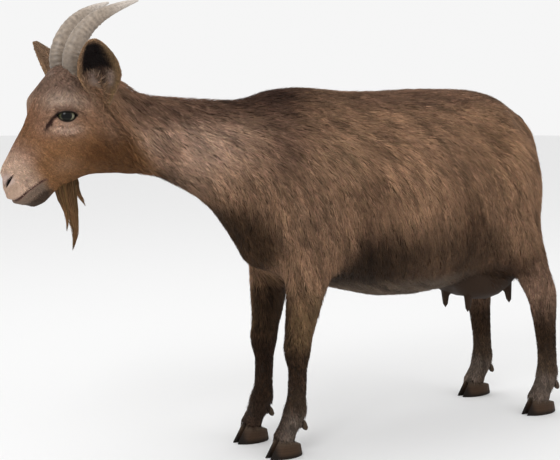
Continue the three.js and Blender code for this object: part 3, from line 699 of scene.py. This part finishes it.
# painted shade: the hide under the hair is darker than the bare hide, for the depth of the coat
hide_tone, bare_tone = 0.42, 0.62  # the hide's brightness against the hair's, under it and bare
at = points_of(hide)
bare = np.maximum(on_udder(at), on_head(at))
shade = coat_colour(at) * (hide_tone + (bare_tone - hide_tone) * bare)[:, None]
# painted shade: the hide inside the nostrils is turned near-black
inside = np.clip((slit * 1.2 - best) / 0.002, 0, 1)  # of the nostrils
shade += (linear(16, 10, 9) - shade) * inside[:, None]


def give_colour(mesh, name, colour):
    """Keeps a colour for each of the mesh's points, in a layer with this name."""
    layer = mesh.color_attributes.new(name, "FLOAT_COLOR", "POINT")
    rgba = np.ones((len(colour), 4), np.float32)
    rgba[:, :3] = colour
    layer.data.foreach_set("color", rgba.ravel())


def texture(paint, kind, layer=None, **settings):
    """A texture laid through the piece's own space, or through one of its mesh's layers."""
    _, nodes, links, _ = paint
    grain = nodes.new(f"ShaderNodeTex{kind}")
    for socket, value in settings.items():
        grain.inputs[socket.replace("_", " ")].default_value = value
    if layer:
        place = nodes.new("ShaderNodeAttribute")
        place.attribute_name = layer
        links.new(place.outputs["Vector"], grain.inputs["Vector"])
    else:
        place = nodes.new("ShaderNodeTexCoord")
        links.new(place.outputs["Object"], grain.inputs["Vector"])
    return grain


def mottle(paint, layer, grain, low, high):
    """Colours the paint from a layer of the mesh, made darker and lighter by a texture."""
    _, nodes, links, surface = paint
    tone = nodes.new("ShaderNodeAttribute")
    tone.attribute_name = layer
    level = nodes.new("ShaderNodeMapRange")
    level.inputs["To Min"].default_value = low
    level.inputs["To Max"].default_value = high
    mix = nodes.new("ShaderNodeMix")
    mix.data_type, mix.blend_type = "RGBA", "MULTIPLY"
    first, second, mixed = mix.inputs[6], mix.inputs[7], mix.outputs[2]  # those for colours
    mix.inputs["Factor"].default_value = 1
    links.new(grain.outputs["Fac"], level.inputs["Value"])
    links.new(tone.outputs["Color"], first)
    links.new(level.outputs["Result"], second)
    links.new(mixed, surface.inputs["Base Color"])
    return level


def emboss(paint, height, strength, distance):
    """Raises the paint's surface by a texture's output."""
    _, nodes, links, surface = paint
    bump = nodes.new("ShaderNodeBump")
    bump.inputs["Strength"].default_value = strength
    bump.inputs["Distance"].default_value = distance
    links.new(height, bump.inputs["Height"])
    links.new(bump.outputs["Normal"], surface.inputs["Normal"])


give_colour(hide, "markings_and_shade", shade)
hide_paint = shader("goat_hide", roughness=0.7, Specular_IOR_Level=0.15)
mottle(hide_paint, "markings_and_shade", texture(hide_paint, "Noise", Scale=260, Detail=4), 0.72, 1.28)
pores = texture(hide_paint, "Voronoi", Scale=420)
emboss(hide_paint, pores.outputs["Distance"], 0.35, 0.0006)


def put_on(piece, paint, slot, *replaced):
    """Gives the piece its paint, and its place on the goat."""
    piece.data.materials.clear()
    piece.data.materials.append(paint[0])
    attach(piece, "root")
    if replaced:
        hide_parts(*replaced)


put_on(skin, hide_paint, "body_coat", *flesh)

# ---------------------------------------------------------------- coat
# Short, lank hair rooted all over the hide, longest on the trunk and neck. Hairs cling together in
# flat pointed tufts that lie back and down along the body and close over each other like thatch.
rng = np.random.default_rng(1831)


def corners_of(mesh):
    """The three points of each of the mesh's triangles, as rows of an array."""
    mesh.calc_loop_triangles()
    out = np.empty(len(mesh.loop_triangles) * 3, int)
    mesh.loop_triangles.foreach_get("vertices", out)
    return out.reshape(-1, 3)


corners = corners_of(hide)
hide_at, hide_normals = points_of(hide), points_of(hide, normals=True)
ground_at, ground_corners = [hide_at], [corners]  # the lowest hair lies over the claws too
for name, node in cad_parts.items():
    if "hoof" in name or "claw" in name:
        ground_corners.append(corners_of(node.data) + sum(len(p) for p in ground_at))
        ground_at.append(points_of(node.data))
ground = [Vector(p) for p in np.vstack(ground_at)]
hide_tree = BVHTree.FromPolygons(ground, np.vstack(ground_corners).tolist())
a, b, c = (hide_at[corners[:, i]] for i in range(3))
patch = np.linalg.norm(np.cross(b - a, c - a), axis=1) / 2
patch_at = (a + b + c) / 3


def unit(v):
    """The same directions, each one long."""
    return v / np.maximum(np.linalg.norm(v, axis=-1, keepdims=True), 1e-9)


def grow_roots(count, where):
    """Scatters roots over the hide as thickly as where(points) says: their places and normals."""
    odds = patch * where(patch_at)
    chosen = corners[rng.choice(len(patch), count, p=odds / odds.sum())]
    u, v = rng.random((2, count))
    flip = u + v > 1
    u, v = np.where(flip, 1 - u, u), np.where(flip, 1 - v, v)
    share = np.stack([1 - u - v, u, v], -1)[..., None]
    return (hide_at[chosen] * share).sum(1), unit((hide_normals[chosen] * share).sum(1))


def lie(points, normals):
    """Which way the hair lies: back along the spine, down the sides and limbs, down the face."""
    x, y, z = points.T
    side = np.sign(x)
    _, down, out = along_head(points)
    top = np.interp(y, *spine_line)
    fall = ramp(top - z, 0.0, 0.24)  # how far down the side
    slope = np.where(z < 0.36, np.radians(35), np.radians(12 + 62 * fall))
    way = np.stack([side * 0.25 * (1 - fall), np.cos(slope), -np.sin(slope)], -1)

    def turn(amount, *other):
        """Turns the hair another way, by an amount from 0 to 1."""
        nonlocal way
        way = way + (np.stack(np.broadcast_arrays(*other), -1) - way) * amount[:, None]

    turn(ramp(-y, 0.16, 0.34), side * 0.15, 0.72, -0.62)  # neck
    turn(ramp(y, 0.50, 0.62), side * 0.2, 0.45, -0.9)  # stern
    turn(on_legs(points), 0, 0.12, -1)
    cheek = np.stack(np.broadcast_arrays(side * 0.1, 0.75, -0.65), -1)
    front = (ramp(out, 0.05, 0.09) * ramp(down, 0.03, 0.06))[:, None]
    face = cheek + (nose_way + side[:, None] * np.array((0.15, 0, 0)) - cheek) * front
    turn(on_head(points), *face.T)
    for flank in (1, -1):  # the hair parts round the eyes
        a, b, c = eye_frame(points, flank)
        round_eye = (1 - ramp(np.hypot(a, b), 0.018, 0.034)) * (np.abs(c) < 0.04)
        away = unit((a[:, None] * eye_back + b[:, None] * eye_up) * (flank, 1, 1))
        turn(round_eye, *(away + 0.3 * way).T)
    turn(in_ears(points), side * ear_axis[0], ear_axis[1], ear_axis[2])
    way = unit(way)
    return unit(way - normals * (way * normals).sum(1, keepdims=True))


def on_hide(points):
    """The nearest places on the hide, and the way it faces there."""
    found = [hide_tree.find_nearest(Vector(p), 0.1) for p in points]
    return np.array([f[0] for f in found]), np.array([f[1] for f in found])


def body_chart(points):
    """A place on the coat's own unwrap: along the spine, and round from the belly to the back."""
    stations = [-0.50, -0.30, -0.10, 0.10, 0.60, 0.70]
    middle = np.interp(points[:, 1], stations, [0.64, 0.60, 0.52, 0.52, 0.54, 0.50])
    around = np.arctan2(points[:, 2] - middle, np.abs(points[:, 0])) / math.pi + 0.5
    return points[:, 1], around


def leg_chart(points):
    """Four strips, one for each leg: round it, and up it."""
    x, y, z = points.T
    hind = y > mid_body
    leg = (x > 0) * 1 + hind * 2
    mid_x = np.sign(x) * np.where(hind, 0.109, 0.068)
    mid_y = np.where(hind, 0.60, -0.075)
    return (leg + 0.05 + 0.9 * (np.arctan2(y - mid_y, x - mid_x) / math.tau + 0.5)) / 4, z


def head_chart(points):
    """Round the head from the chin to the brow, each side in its own half, and down the face."""
    across, down, out = along_head(points)
    around = np.arctan2(np.abs(across), out - 0.02) / math.pi
    return down, 0.5 + 0.48 * np.sign(across) * around


def ear_chart(points):
    """Each side of each ear in its own quarter: across the blade, and up it."""
    up, over, cup = ear_place(points)
    sheet = np.round(cup) + 2 * (points[:, 0] > 0)
    return (sheet + 0.5 + 0.45 * np.clip(over, -1, 1)) / 4, up


patch_half = 0.0015  # half the width of a tuft's patch on the unwrap


def tuft_mesh(name, rows, colours, chart, sides=3):
    """Joins tufts into one mesh. rows holds their roots, rings and tips; colours go with them."""
    root, rings, tip = rows
    count, steps = rings.shape[:2]
    points = np.concatenate([root[:, None], rings.reshape(count, -1, 3), tip[:, None]], 1)
    faces = []
    for i in range(sides):
        j = (i + 1) % sides
        faces.append((0, 1 + j, 1 + i))
        for p in range(1, 1 + (steps - 1) * sides, sides):
            q = p + sides
            faces += [(p + i, p + j, q + j), (p + i, q + j, q + i)]
        last = 1 + (steps - 1) * sides
        faces.append((last + i, last + j, last + sides))
    index = (np.arange(count)[:, None, None] * points.shape[1] + np.array(faces)).reshape(-1)
    total = len(index) // 3
    mesh = bpy.data.meshes.new(name)
    mesh.vertices.add(points.shape[0] * points.shape[1])
    mesh.vertices.foreach_set("co", points.ravel())
    mesh.loops.add(len(index))
    mesh.loops.foreach_set("vertex_index", index)
    mesh.polygons.add(total)
    mesh.polygons.foreach_set("loop_start", np.arange(total) * 3)
    mesh.update(calc_edges=True)
    # each tuft's patch on the unwrap, at its root's place
    place = np.stack(chart(root), -1)
    low, high = place.min(0), place.max(0)
    place = 0.02 + 0.96 * (place - low) / np.maximum(high - low, 1e-6)
    patch_corners = patch_half * np.array([(-1, -1), (1, -1), (0, 1)])
    uv = np.repeat(place, len(faces), 0)[:, None] + patch_corners
    mesh.uv_layers.new(name="OFBake").data.foreach_set("uv", uv.ravel())
    give_colour(mesh, "markings_and_shade", colours.reshape(-1, 3))
    mesh.shade_smooth()
    return mesh


def hair_paint(name):
    """Hair's finish: its markings and painted shade, broken by fine streaks, and a faint gloss."""
    paint = shader(name, roughness=0.55, Specular_IOR_Level=0.08)
    mottle(paint, "markings_and_shade", texture(paint, "Noise", Scale=90, Detail=3), 0.80, 1.20)
    return paint


def how_many(full):
    return full


# tufts near each other share a lock's tone and turn, and streaks run with the lie of the hair
lock_count, streak_reach, streak_steps = 36000, 0.028, 9
tone_swing, tone_drift, turn_swing = 0.24, 0.07, 7  # the turn in degrees
lock_seeds, lock_normals = grow_roots(lock_count, lambda p: 1 + 2 * on_head(p))
lock_tree = KDTree(len(lock_seeds))
for i, seed in enumerate(lock_seeds):
    lock_tree.insert(seed, i)
lock_tree.balance()


def locks_at(points):
    """Which lock each point belongs to."""
    return np.array([lock_tree.find(Vector(p))[1] for p in points])


lock_way = lie(lock_seeds, lock_normals)
cast_tone = rng.standard_normal(len(lock_seeds))
lock_tone = np.zeros(len(lock_seeds))
for step in np.linspace(-streak_reach, streak_reach, streak_steps):
    lock_tone += cast_tone[locks_at(lock_seeds + lock_way * step)] / streak_steps
lock_tone = 1 + tone_swing * np.clip(lock_tone / lock_tone.std(), -2.2, 2.2)
lock_tone += tone_drift * np.array([noise.noise(Vector(p) * 11) for p in lock_seeds])
lock_turn = rng.normal(0, turn_swing, len(lock_seeds))

root_depth = 0.0006  # how deep a tuft is rooted in the hide
# painted shade and light: tufts are darkest at the root, deep in the coat, and lightest at the tip
mid_tone, tip_light = 0.92, 1.12  # a tuft's brightness at its ring and at its tip


def grow_tufts(
    count, where, length, width, lift, gather=0.35, stray=7, spread=1.0, root_shade=0.45, mixed=0.13
):
    """Tufts on the hide: root, one ring of three, and tip, bent to follow the body under them.

    They gather in to the middle of their lock, stray from its way, and take its tone.
    """
    roots, normals = grow_roots(how_many(count), where)
    count = len(roots)
    way = lie(roots, normals)
    lock = locks_at(roots)
    turn = np.radians(lock_turn[lock] + rng.normal(0, stray, count))[:, None]
    way = way * np.cos(turn) + np.cross(normals, way) * np.sin(turn)
    long = (length(roots) * rng.uniform(0.7, 1.25, count))[:, None]
    half = (width(roots) * rng.uniform(0.75, 1.25, count) / 2)[:, None]
    high = (lift(roots) * np.ones(count))[:, None]
    centre = lock_seeds[lock] - roots
    centre -= way * (centre * way).sum(1, keepdims=True)
    far, far_normal = on_hide(roots + way * long + centre * gather)
    mid, mid_normal = on_hide(roots + way * (0.42 * long) + centre * gather * 0.3)
    mid = mid + mid_normal * high * rng.uniform(0.35, 0.75, count)[:, None]
    tip = far + far_normal * high * rng.uniform(0.45, 1.35, count)[:, None]
    across = unit(np.cross(way, mid_normal)) * half
    ring = np.stack([mid - across, mid + mid_normal * half * 0.55, mid + across], 1)
    shade = np.maximum(lock_tone[lock], 0.3) ** spread * rng.normal(1, mixed, count).clip(0.55, 1.6)
    hue = 1 + rng.normal(0, 0.03, (count, 3))
    base = coat_colour(roots) * shade[:, None] * hue
    # painted shade at the root, painted light at the tip
    tones = (root_shade, mid_tone, mid_tone, mid_tone, tip_light)
    colours = np.stack([base * tone for tone in tones], 1)
    return roots, (roots - normals * root_depth, ring[:, None], tip), colours


def share_out(slot, pieces, tufts, chart, paint):
    """Parts grown tufts into named pieces by where their roots are, and puts each on the goat."""
    roots, (root, ring, tip), colours = tufts
    for name, part in pieces.items():
        here = part(roots)
        mesh = tuft_mesh(name, (root[here], ring[here], tip[here]), colours[here], chart)
        put_on(piece_of(mesh), paint, slot)


def everywhere(p):
    """True for every root."""
    return np.ones(len(p), bool)


def body_share(p):
    """How thickly the body's own hair grows: not on the head, legs, udder or ears."""
    bare = np.maximum.reduce([on_head(p), on_legs(p), on_udder(p), in_ears(p), 0.6 * on_tail(p)])
    return 1 - bare + 1e-9


def in_band(low, high, side):
    """A test for roots between two places along the body, on one side of it."""
    return lambda p: (p[:, 1] > low) & (p[:, 1] <= high) & (p[:, 0] * side > 0)


bands = {"neck": (-9, -0.20), "shoulder": (-0.20, 0.06), "flank": (0.06, 0.34), "rump": (0.34, 9)}
share_out(
    "body_coat",
    {
        f"coat_{band}_{word}": in_band(*ends, side)
        for band, ends in bands.items() for word, side in (("left", 1), ("right", -1))
    },
    grow_tufts(
        count=140000, where=body_share,
        length=lambda p: 0.028 + 0.008 * ramp(p[:, 1], -0.25, 0.0),
        width=lambda p: 0.0016,
        lift=lambda p: 0.0060,
    ),
    body_chart, hair_paint("body_hair"),
)
leg_paint = hair_paint("leg_hair")
share_out(
    "leg_coat", {"coat_legs": everywhere},
    grow_tufts(
        count=30000,
        where=lambda p: on_legs(p) * (1 - on_udder(p)) * ramp(p[:, 2], 0.036, 0.042),
        length=lambda p: 0.009 + 0.018 * ramp(p[:, 2], 0.10, 0.34),
        width=lambda p: 0.0012 + 0.0006 * ramp(p[:, 2], 0.12, 0.34),
        lift=lambda p: 0.0014 + 0.0030 * ramp(p[:, 2], 0.08, 0.34),
        gather=0.15, stray=8, root_shade=0.65,
    ),
    leg_chart, leg_paint,
)


def fetlock_share(p):
    """The hair that hangs over the coronets and behind the fetlocks."""
    x, y, z = p.T
    row = np.where(y > mid_body, leg_rows["rear"], leg_rows["front"])
    coronet = ramp(z, 0.030, 0.036) * ramp(-z, -0.062, -0.046)
    behind = ramp(y - row, 0.006, 0.018) * ramp(z, 0.055, 0.070) * ramp(-z, -0.125, -0.100)
    return on_legs(p) * (coronet + 0.6 * behind)


share_out(
    "leg_coat", {"coat_fetlocks": everywhere},
    grow_tufts(
        count=6000, where=fetlock_share,
        length=lambda p: 0.013 + 0.008 * ramp(p[:, 2], 0.055, 0.075),
        width=lambda p: 0.0012,
        lift=lambda p: 0.0012 + 0.0030 * ramp(p[:, 2], 0.055, 0.075),
        gather=0.1, stray=9, root_shade=0.65,
    ),
    leg_chart, leg_paint,
)


def face_share(p):
    """How thickly the face's hair grows: off the lids, the tear grooves, the lips and the nose."""
    _, down, out = along_head(p)
    clear = on_head(p) * (1 - in_ears(p))
    for side in (1, -1):
        a, b, c = eye_frame(p, side)
        near = (np.hypot(a, b) < 0.05) & (np.abs(c) < 0.04)
        off_lids = ramp(lid_gap(a, b), 0.0030, 0.0042) * (1 - 0.7 * tear_wedge(a, b))
        clear *= np.where(near, off_lids, 1)
    lip = out - mouth_at(down)
    lips = ridge(lip, 0.0034, 4) * ramp(down, 0.166, 0.174)
    lips = np.maximum(lips, 0.75 * ramp(-lip, 0.0, 0.003) * ramp(down, 0.172, 0.190))
    best, _, slit = nostril_at(p)
    nose = (best > slit + 0.0012) * (1 - 0.85 * ramp(down, 0.205, 0.226))
    return clear * (1 - lips) * nose


share_out(
    "face_coat",
    {"coat_face_left": lambda r: r[:, 0] > 0, "coat_face_right": lambda r: r[:, 0] <= 0},
    grow_tufts(
        count=46000, where=face_share,
        length=lambda p: 0.015 - 0.0085 * ramp(along_head(p)[1], 0.0, 0.15),
        width=lambda p: 0.0013 - 0.0004 * ramp(along_head(p)[1], 0.0, 0.08),
        lift=lambda p: 0.0018 - 0.0012 * ramp(along_head(p)[1], 0.0, 0.10),
        gather=0.15, stray=10, spread=0.65, root_shade=0.8, mixed=0.15,
    ),
    head_chart, hair_paint("face_hair"),
)
share_out(
    "ear", {"coat_ears": everywhere},
    grow_tufts(
        count=8000, where=lambda p: in_ears(p) + 1e-9,
        length=lambda p: 0.007, width=lambda p: 0.0009, lift=lambda p: 0.0010,
        gather=0.1, stray=9,
    ),
    ear_chart, hair_paint("ear_hair"),
)

# ---------------------------------------------------------------- beard and tail
# Long, coarse hair: the beard hangs from the chin in three pointed locks, and the tail's hair fans
# off the dock and falls straight. Each hair is a thin tapered strand with its root in the hide.
strand_half = 0.0009  # half a strand's width at its root
strand_points = 8
places = np.linspace(0, 1, strand_points)  # along a strand


def follow(line, places):
    """Points on a smooth curve through the line's points, at places from 0 to 1 along it."""
    line = np.asarray(line, float)
    step = np.concatenate([[0], np.cumsum(np.linalg.norm(np.diff(line, axis=0), axis=1))])
    at = np.clip(places, 0, 1) * step[-1]
    i = np.clip(np.searchsorted(step, at, side="right") - 1, 0, len(line) - 2)
    t = ((at - step[i]) / (step[i + 1] - step[i]))[:, None]
    padded = np.vstack([2 * line[0] - line[1], line, 2 * line[-1] - line[-2]])
    a, b, c, d = padded[i], padded[i + 1], padded[i + 2], padded[i + 3]
    bend = (2 * a - 5 * b + 4 * c - d) * t**2 + (3 * b - a - 3 * c + d) * t**3
    return 0.5 * (2 * b + (c - a) * t + bend)


def hang_strands(name, paths, colour, tones, chart, *replaced):
    """Makes one piece of the strands that follow the paths, with painted shade at the root."""
    hue = 1 + rng.normal(0, 0.04, (len(paths), 3))
    along = unit(np.gradient(paths, axis=1))
    across = unit(np.cross(along, np.array((0.35, 1.0, 0.12))))
    over = np.cross(across, along)
    half = (strand_half * (1 - 0.75 * places**1.5))[None, :, None]
    rings = np.stack([
        paths + (across * math.cos(turn) + over * math.sin(turn)) * half
        for turn in (0, math.tau / 3, 2 * math.tau / 3)
    ], 2)[:, 1:-1]
    steps = np.arange(1, strand_points - 1)
    far = np.concatenate([[0], np.repeat(steps, 3), [strand_points - 1]]) / (strand_points - 1)
    # painted shade at the root, brightening to painted light at the tip
    shades = (colour * tones[:, None] * hue)[:, None] * (0.55 + 0.65 * far)[None, :, None]
    mesh = tuft_mesh(name, (paths[:, 0], rings, paths[:, -1]), shades, chart)
    put_on(piece_of(mesh), hair_paint(name), "long_hair", *replaced)


beard_brown, tail_brown = linear(89, 66, 44) * coat_light, linear(78, 56, 42) * coat_light
beard_locks = (  # line down each lock (x, y, z), half its width and depth at the root, strands
    (((0, -0.5414, 0.600), (0, -0.5374, 0.575), (0, -0.5344, 0.550), (0, -0.5244, 0.520),
      (0, -0.5184, 0.484), (0, -0.5254, 0.450)), 0.014, 0.021, 420),
    (((0.004, -0.5534, 0.594), (0.005, -0.5484, 0.572), (0.006, -0.5444, 0.550),
      (0.007, -0.5384, 0.516), (0.006, -0.5394, 0.488)), 0.009, 0.012, 150),
    (((-0.005, -0.5274, 0.600), (-0.006, -0.5194, 0.580), (-0.006, -0.5154, 0.568),
      (-0.005, -0.5024, 0.548), (-0.004, -0.4944, 0.533)), 0.009, 0.012, 150),
)
paths, tones = [], []
for line, wide, deep, count in beard_locks:
    count = how_many(count)
    turn, far = rng.uniform(0, math.tau, count), np.sqrt(rng.random(count))
    wave = rng.normal(0, 0.0011, (count, 2))
    phase = rng.uniform(0, math.tau, count)
    reach = rng.uniform(0.72, 1.0, count)
    for i in range(count):
        u = places * reach[i]
        taper = (1 - u) ** 0.85 * (0.80 + 0.5 * np.sin(math.pi * np.minimum(1, u * 1.6)))
        paths.append(follow(line, u) + np.stack([
            math.cos(turn[i]) * far[i] * wide * taper + wave[i, 0] * np.sin(phase[i] + 7 * u),
            math.sin(turn[i]) * far[i] * deep * taper + wave[i, 1] * np.cos(phase[i] + 6 * u),
            0 * u], -1))
    tones.append(rng.normal(1, 0.16, count).clip(0.55, 1.5))
hang_strands(
    "beard_hair", np.array(paths), beard_brown, np.concatenate(tones),
    lambda p: (p[:, 0], p[:, 1]), "beard")

tail_line = (
    (0, 0.5746, 0.688), (0, 0.6026, 0.688), (0, 0.6246, 0.668),
    (0, 0.6366, 0.634), (0, 0.6436, 0.592), (0, 0.6446, 0.548),
)
count = how_many(1500)
start = rng.uniform(0.02, 0.62, count)
length = rng.uniform(0.30, 0.46, count)
side_at = rng.uniform(-1, 1, count)
back_at = rng.uniform(-1, 1, count)
paths = []
for i in range(count):
    u = np.minimum(start[i] + places * length[i], 1.0)
    fan = 0.003 + 0.014 * np.sin(math.pi * np.clip(u * 0.95, 0, 1)) ** 0.7
    proud = 0.0025 + back_at[i] * (0.0070 - 0.003 * u) * (0.6 + 0.4 * places)
    proud = proud * ramp(u, 0.02, 0.30) - 0.004 * (1 - ramp(u, 0.0, 0.22))
    sway = rng.normal(0, 0.0008) * np.sin(6 * places + i)
    paths.append(follow(tail_line, u) + np.stack([side_at[i] * fan + sway, proud, 0 * u], -1))
tones = (rng.normal(1, 0.20, count) * (1 + 0.16 * np.sin(7 * side_at))).clip(0.5, 1.6)
hang_strands("tail_hair", np.array(paths), tail_brown, tones, lambda p: (p[:, 0], p[:, 2]))

# ---------------------------------------------------------------- horns
# Grey-brown keratin sheaths grown over bone cores on the skull, oval with a keel in front. They are
# crossed by growth rings that crowd towards the base and smooth out towards the polished tip.
horn_line = (  # up the middle of the left horn
    (0.0235, -0.5254, 0.766), (0.025, -0.5284, 0.786), (0.028, -0.5314, 0.812),
    (0.031, -0.5224, 0.842), (0.035, -0.5044, 0.868), (0.041, -0.4804, 0.888),
    (0.048, -0.4534, 0.902), (0.055, -0.4274, 0.912), (0.059, -0.4114, 0.917),
)
horn_rows, horn_sides, growth_rings = 230, 56, 24
horn_wide, horn_deep = 0.0154, 0.0204  # half the horn's width and depth at its base
tip_wide, tip_deep = 0.0020, 0.0022
ring_high = 0.0008
horn_dark, horn_mid, horn_pale = linear(104, 92, 80), linear(146, 132, 118), linear(190, 181, 172)
horn_light = 1.15

u = np.linspace(0, 1, horn_rows)
middle = follow(horn_line, u)
axis = unit(np.gradient(middle, axis=0))
across = unit(np.array((1.0, 0, 0)) - axis * axis[:, :1])
front = np.cross(axis, across)
grown = np.clip((u - 0.07) / 0.93, 0, 1)  # 0 where the horn leaves the head
body = (1 - grown**1.5) ** 0.9
beat = growth_rings * grown**0.85 + 0.35 * np.sin(9 * grown) + 0.15 * np.sin(31 * grown)
swell = (0.5 - 0.5 * np.cos(math.tau * beat)) ** 1.6
swell = swell * ramp(grown, 0.02, 0.10) * (1 - ramp(grown, 0.55, 0.85))
around = np.linspace(0, math.tau, horn_sides, endpoint=False)
keel = ridge(np.angle(np.exp(1j * (around - math.pi / 2))), 0.42)
rings = []
for r in range(horn_rows):
    wobble = 1 + 0.012 * np.sin(3 * around + 5 * beat[r]) + 0.008 * np.sin(7 * around - 3 * beat[r])
    grow = ring_high * swell[r] * (0.6 + 0.7 * keel) * (0.8 + 0.4 * math.sin(2.3 * beat[r]))
    wide = (tip_wide + (horn_wide - tip_wide) * body[r]) * wobble + grow
    deep = (tip_deep + (horn_deep - tip_deep) * body[r]) * wobble * (1 + 0.05 * keel) + grow
    out = across[r] * (np.cos(around) * wide)[:, None] + front[r] * (np.sin(around) * deep)[:, None]
    rings.append(middle[r] + out)
rings = np.array(rings)
shade = horn_dark + (horn_mid - horn_dark) * ramp(grown, 0.0, 0.35)[:, None]
shade = shade + (horn_pale - shade) * ramp(grown, 0.62, 1.0)[:, None]
# painted shade in the grooves between the growth rings
ring_groove_shade = 1 - 0.15 * (1 - swell) * ramp(grown, 0.0, 0.08) * (1 - ramp(grown, 0.5, 0.8))
shade = np.repeat((shade * ring_groove_shade[:, None])[:, None], horn_sides, 1).reshape(-1, 3)
shade = np.vstack([shade, horn_dark, horn_pale]) * horn_light
growth = np.stack(np.broadcast_arrays(  # where the fibres run: round the horn, and up it by rings
    (np.cos(around) * 2.0)[None], (np.sin(around) * 2.0)[None], (beat * 1.6)[:, None]), -1)
growth = np.vstack([growth.reshape(-1, 3), (0, 0, 0), (0, 0, 30)])

horn_paint = shader("horn_keratin", roughness=0.42, Specular_IOR_Level=0.45)
fibre = texture(horn_paint, "Noise", layer="growth", Scale=1, Detail=5)
level = mottle(horn_paint, "markings_and_shade", fibre, 0.70, 1.22)
level.inputs["From Min"].default_value = 0.3
level.inputs["From Max"].default_value = 0.7
emboss(horn_paint, fibre.outputs["Fac"], 0.5, 0.0006)
for word, side in (("left", 1), ("right", -1)):
    mesh = ring_mesh(f"horn_{word}_keratin", rings * (side, 1, 1))
    give_colour(mesh, "markings_and_shade", shade)
    layer = mesh.attributes.new("growth", "FLOAT_VECTOR", "POINT")
    layer.data.foreach_set("vector", growth.ravel())
    mesh.shade_smooth()
    put_on(piece_of(mesh), horn_paint, "horn", f"horn_{word}")

# ---------------------------------------------------------------- eyes
# Wet balls held in their sockets by the lids. Each has a level slot pupil in a mottled olive iris,
# paler under the pupil, beneath a clear cornea that bulges a little from the ball.
iris_half, cornea_high = 0.0140, 0.0007
pupil_long, pupil_tall = 0.0066, 0.0016  # half the slot, inside its soft edge
pupil_black, iris_dark, iris_olive = linear(5, 4, 4), linear(22, 21, 13), linear(70, 68, 46)
iris_pale, iris_edge, eye_white = linear(140, 136, 112), linear(20, 15, 12), linear(52, 38, 30)

eye_paint = shader(
    "eye_wet", roughness=0.06, Specular_IOR_Level=0.15, Coat_Weight=0.05, Coat_Roughness=0.02)
mottle(eye_paint, "iris", texture(eye_paint, "Noise", Scale=900), 0.7, 1.3)
polar = np.linspace(0.012, math.pi - 0.05, 90)[:, None]
around = np.linspace(0, math.tau, 120, endpoint=False)
a, b = np.sin(polar) * np.cos(around), np.sin(polar) * np.sin(around)
c = np.broadcast_to(np.cos(polar), a.shape)
radius = eye_radius + cornea_high * ramp(c, math.cos(math.asin(0.74)), 0.86)
a, b, c = a * radius, b * radius, c * radius
points = eye_centre + a[..., None] * eye_back + b[..., None] * eye_up + c[..., None] * eye_out
far = np.hypot(a, b) / iris_half
spoke = 0.80 + 0.20 * np.sin(31 * around + 2 * np.sin(5 * around)) + 0.12 * np.sin(57 * around)
low = ramp(0.35 * a - b, -0.004, 0.006)[..., None]
shade = iris_olive + (iris_pale - iris_olive) * low
shade = iris_dark + (shade - iris_dark) * ramp(far, 0.60, 0.80)[..., None]
shade = shade * spoke[:, None]
shade = shade + (iris_edge - shade) * ramp(far, 0.94, 1.04)[..., None]
shade = shade + (eye_white - shade) * ramp(far, 1.08, 1.25)[..., None]
slot = np.hypot(np.maximum(np.abs(a) - pupil_long, 0), np.maximum(np.abs(b) - pupil_tall, 0))
shade = shade + (pupil_black - shade) * (1 - ramp(slot, 0.0026, 0.0034))[..., None]
shade = np.vstack([shade.reshape(-1, 3), pupil_black, eye_white])
for word, side in (("left", 1), ("right", -1)):
    mesh = ring_mesh(f"eye_{word}_ball", points * (side, 1, 1))
    give_colour(mesh, "iris", shade)
    mesh.shade_smooth()
    put_on(piece_of(mesh), eye_paint, "eye", f"eye_{word}")

# ---------------------------------------------------------------- hooves
# Each foot has two claws and, behind the pastern, two dewclaws, all of brown-grey horn that grows
# down from the coronet in fine rings, darker at the sole's edge and black down the front.
hoof_brown, hoof_black = linear(62, 46, 34), linear(14, 10, 8)
coronet_pale, sole_dark = linear(78, 66, 54), linear(22, 17, 13)

hoof_paint = shader("hoof_keratin", roughness=0.62, Specular_IOR_Level=0.12)
band = texture(hoof_paint, "Wave", Scale=60, Distortion=4, Detail=3, Detail_Scale=2)
band.bands_direction = "Z"
mottle(hoof_paint, "markings_and_shade", band, 0.90, 1.08)
emboss(hoof_paint, band.outputs["Fac"], 0.25, 0.0005)
for kind, grain, rounds in (("hoof", 0.0012, 10), ("dewclaw", 0.0009, 6)):
    for foot in ("front_left", "front_right", "rear_left", "rear_right"):
        names = [f"{kind}_{foot}_{half}" for half in ("inner", "outer")]
        claws = [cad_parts[name].data for name in names]
        piece = piece_of(join(f"{kind}_{foot}_horn", claws))
        recast(piece, grain)
        mesh = even_out(piece, np.ones(len(piece.data.vertices)), rounds)
        x, y, z = points_of(mesh).T
        top = z.max()
        toe = ramp(-y, -np.percentile(y, 22), -np.percentile(y, 5))
        shade = np.tile(hoof_brown, (len(x), 1))
        for colour, amount in (
            (hoof_black, 0.85 * toe),
            (coronet_pale, 0.6 * ramp(z, 0.5 * top, 0.9 * top) * (1 - toe)),
            (sole_dark, 0.8 * ramp(-z, -0.012, -0.004)),
        ):
            shade = shade + (colour - shade) * amount[:, None]
        give_colour(mesh, "markings_and_shade", shade)
        mesh.shade_smooth()
        put_on(piece, hoof_paint, "hoof_horn", *names)
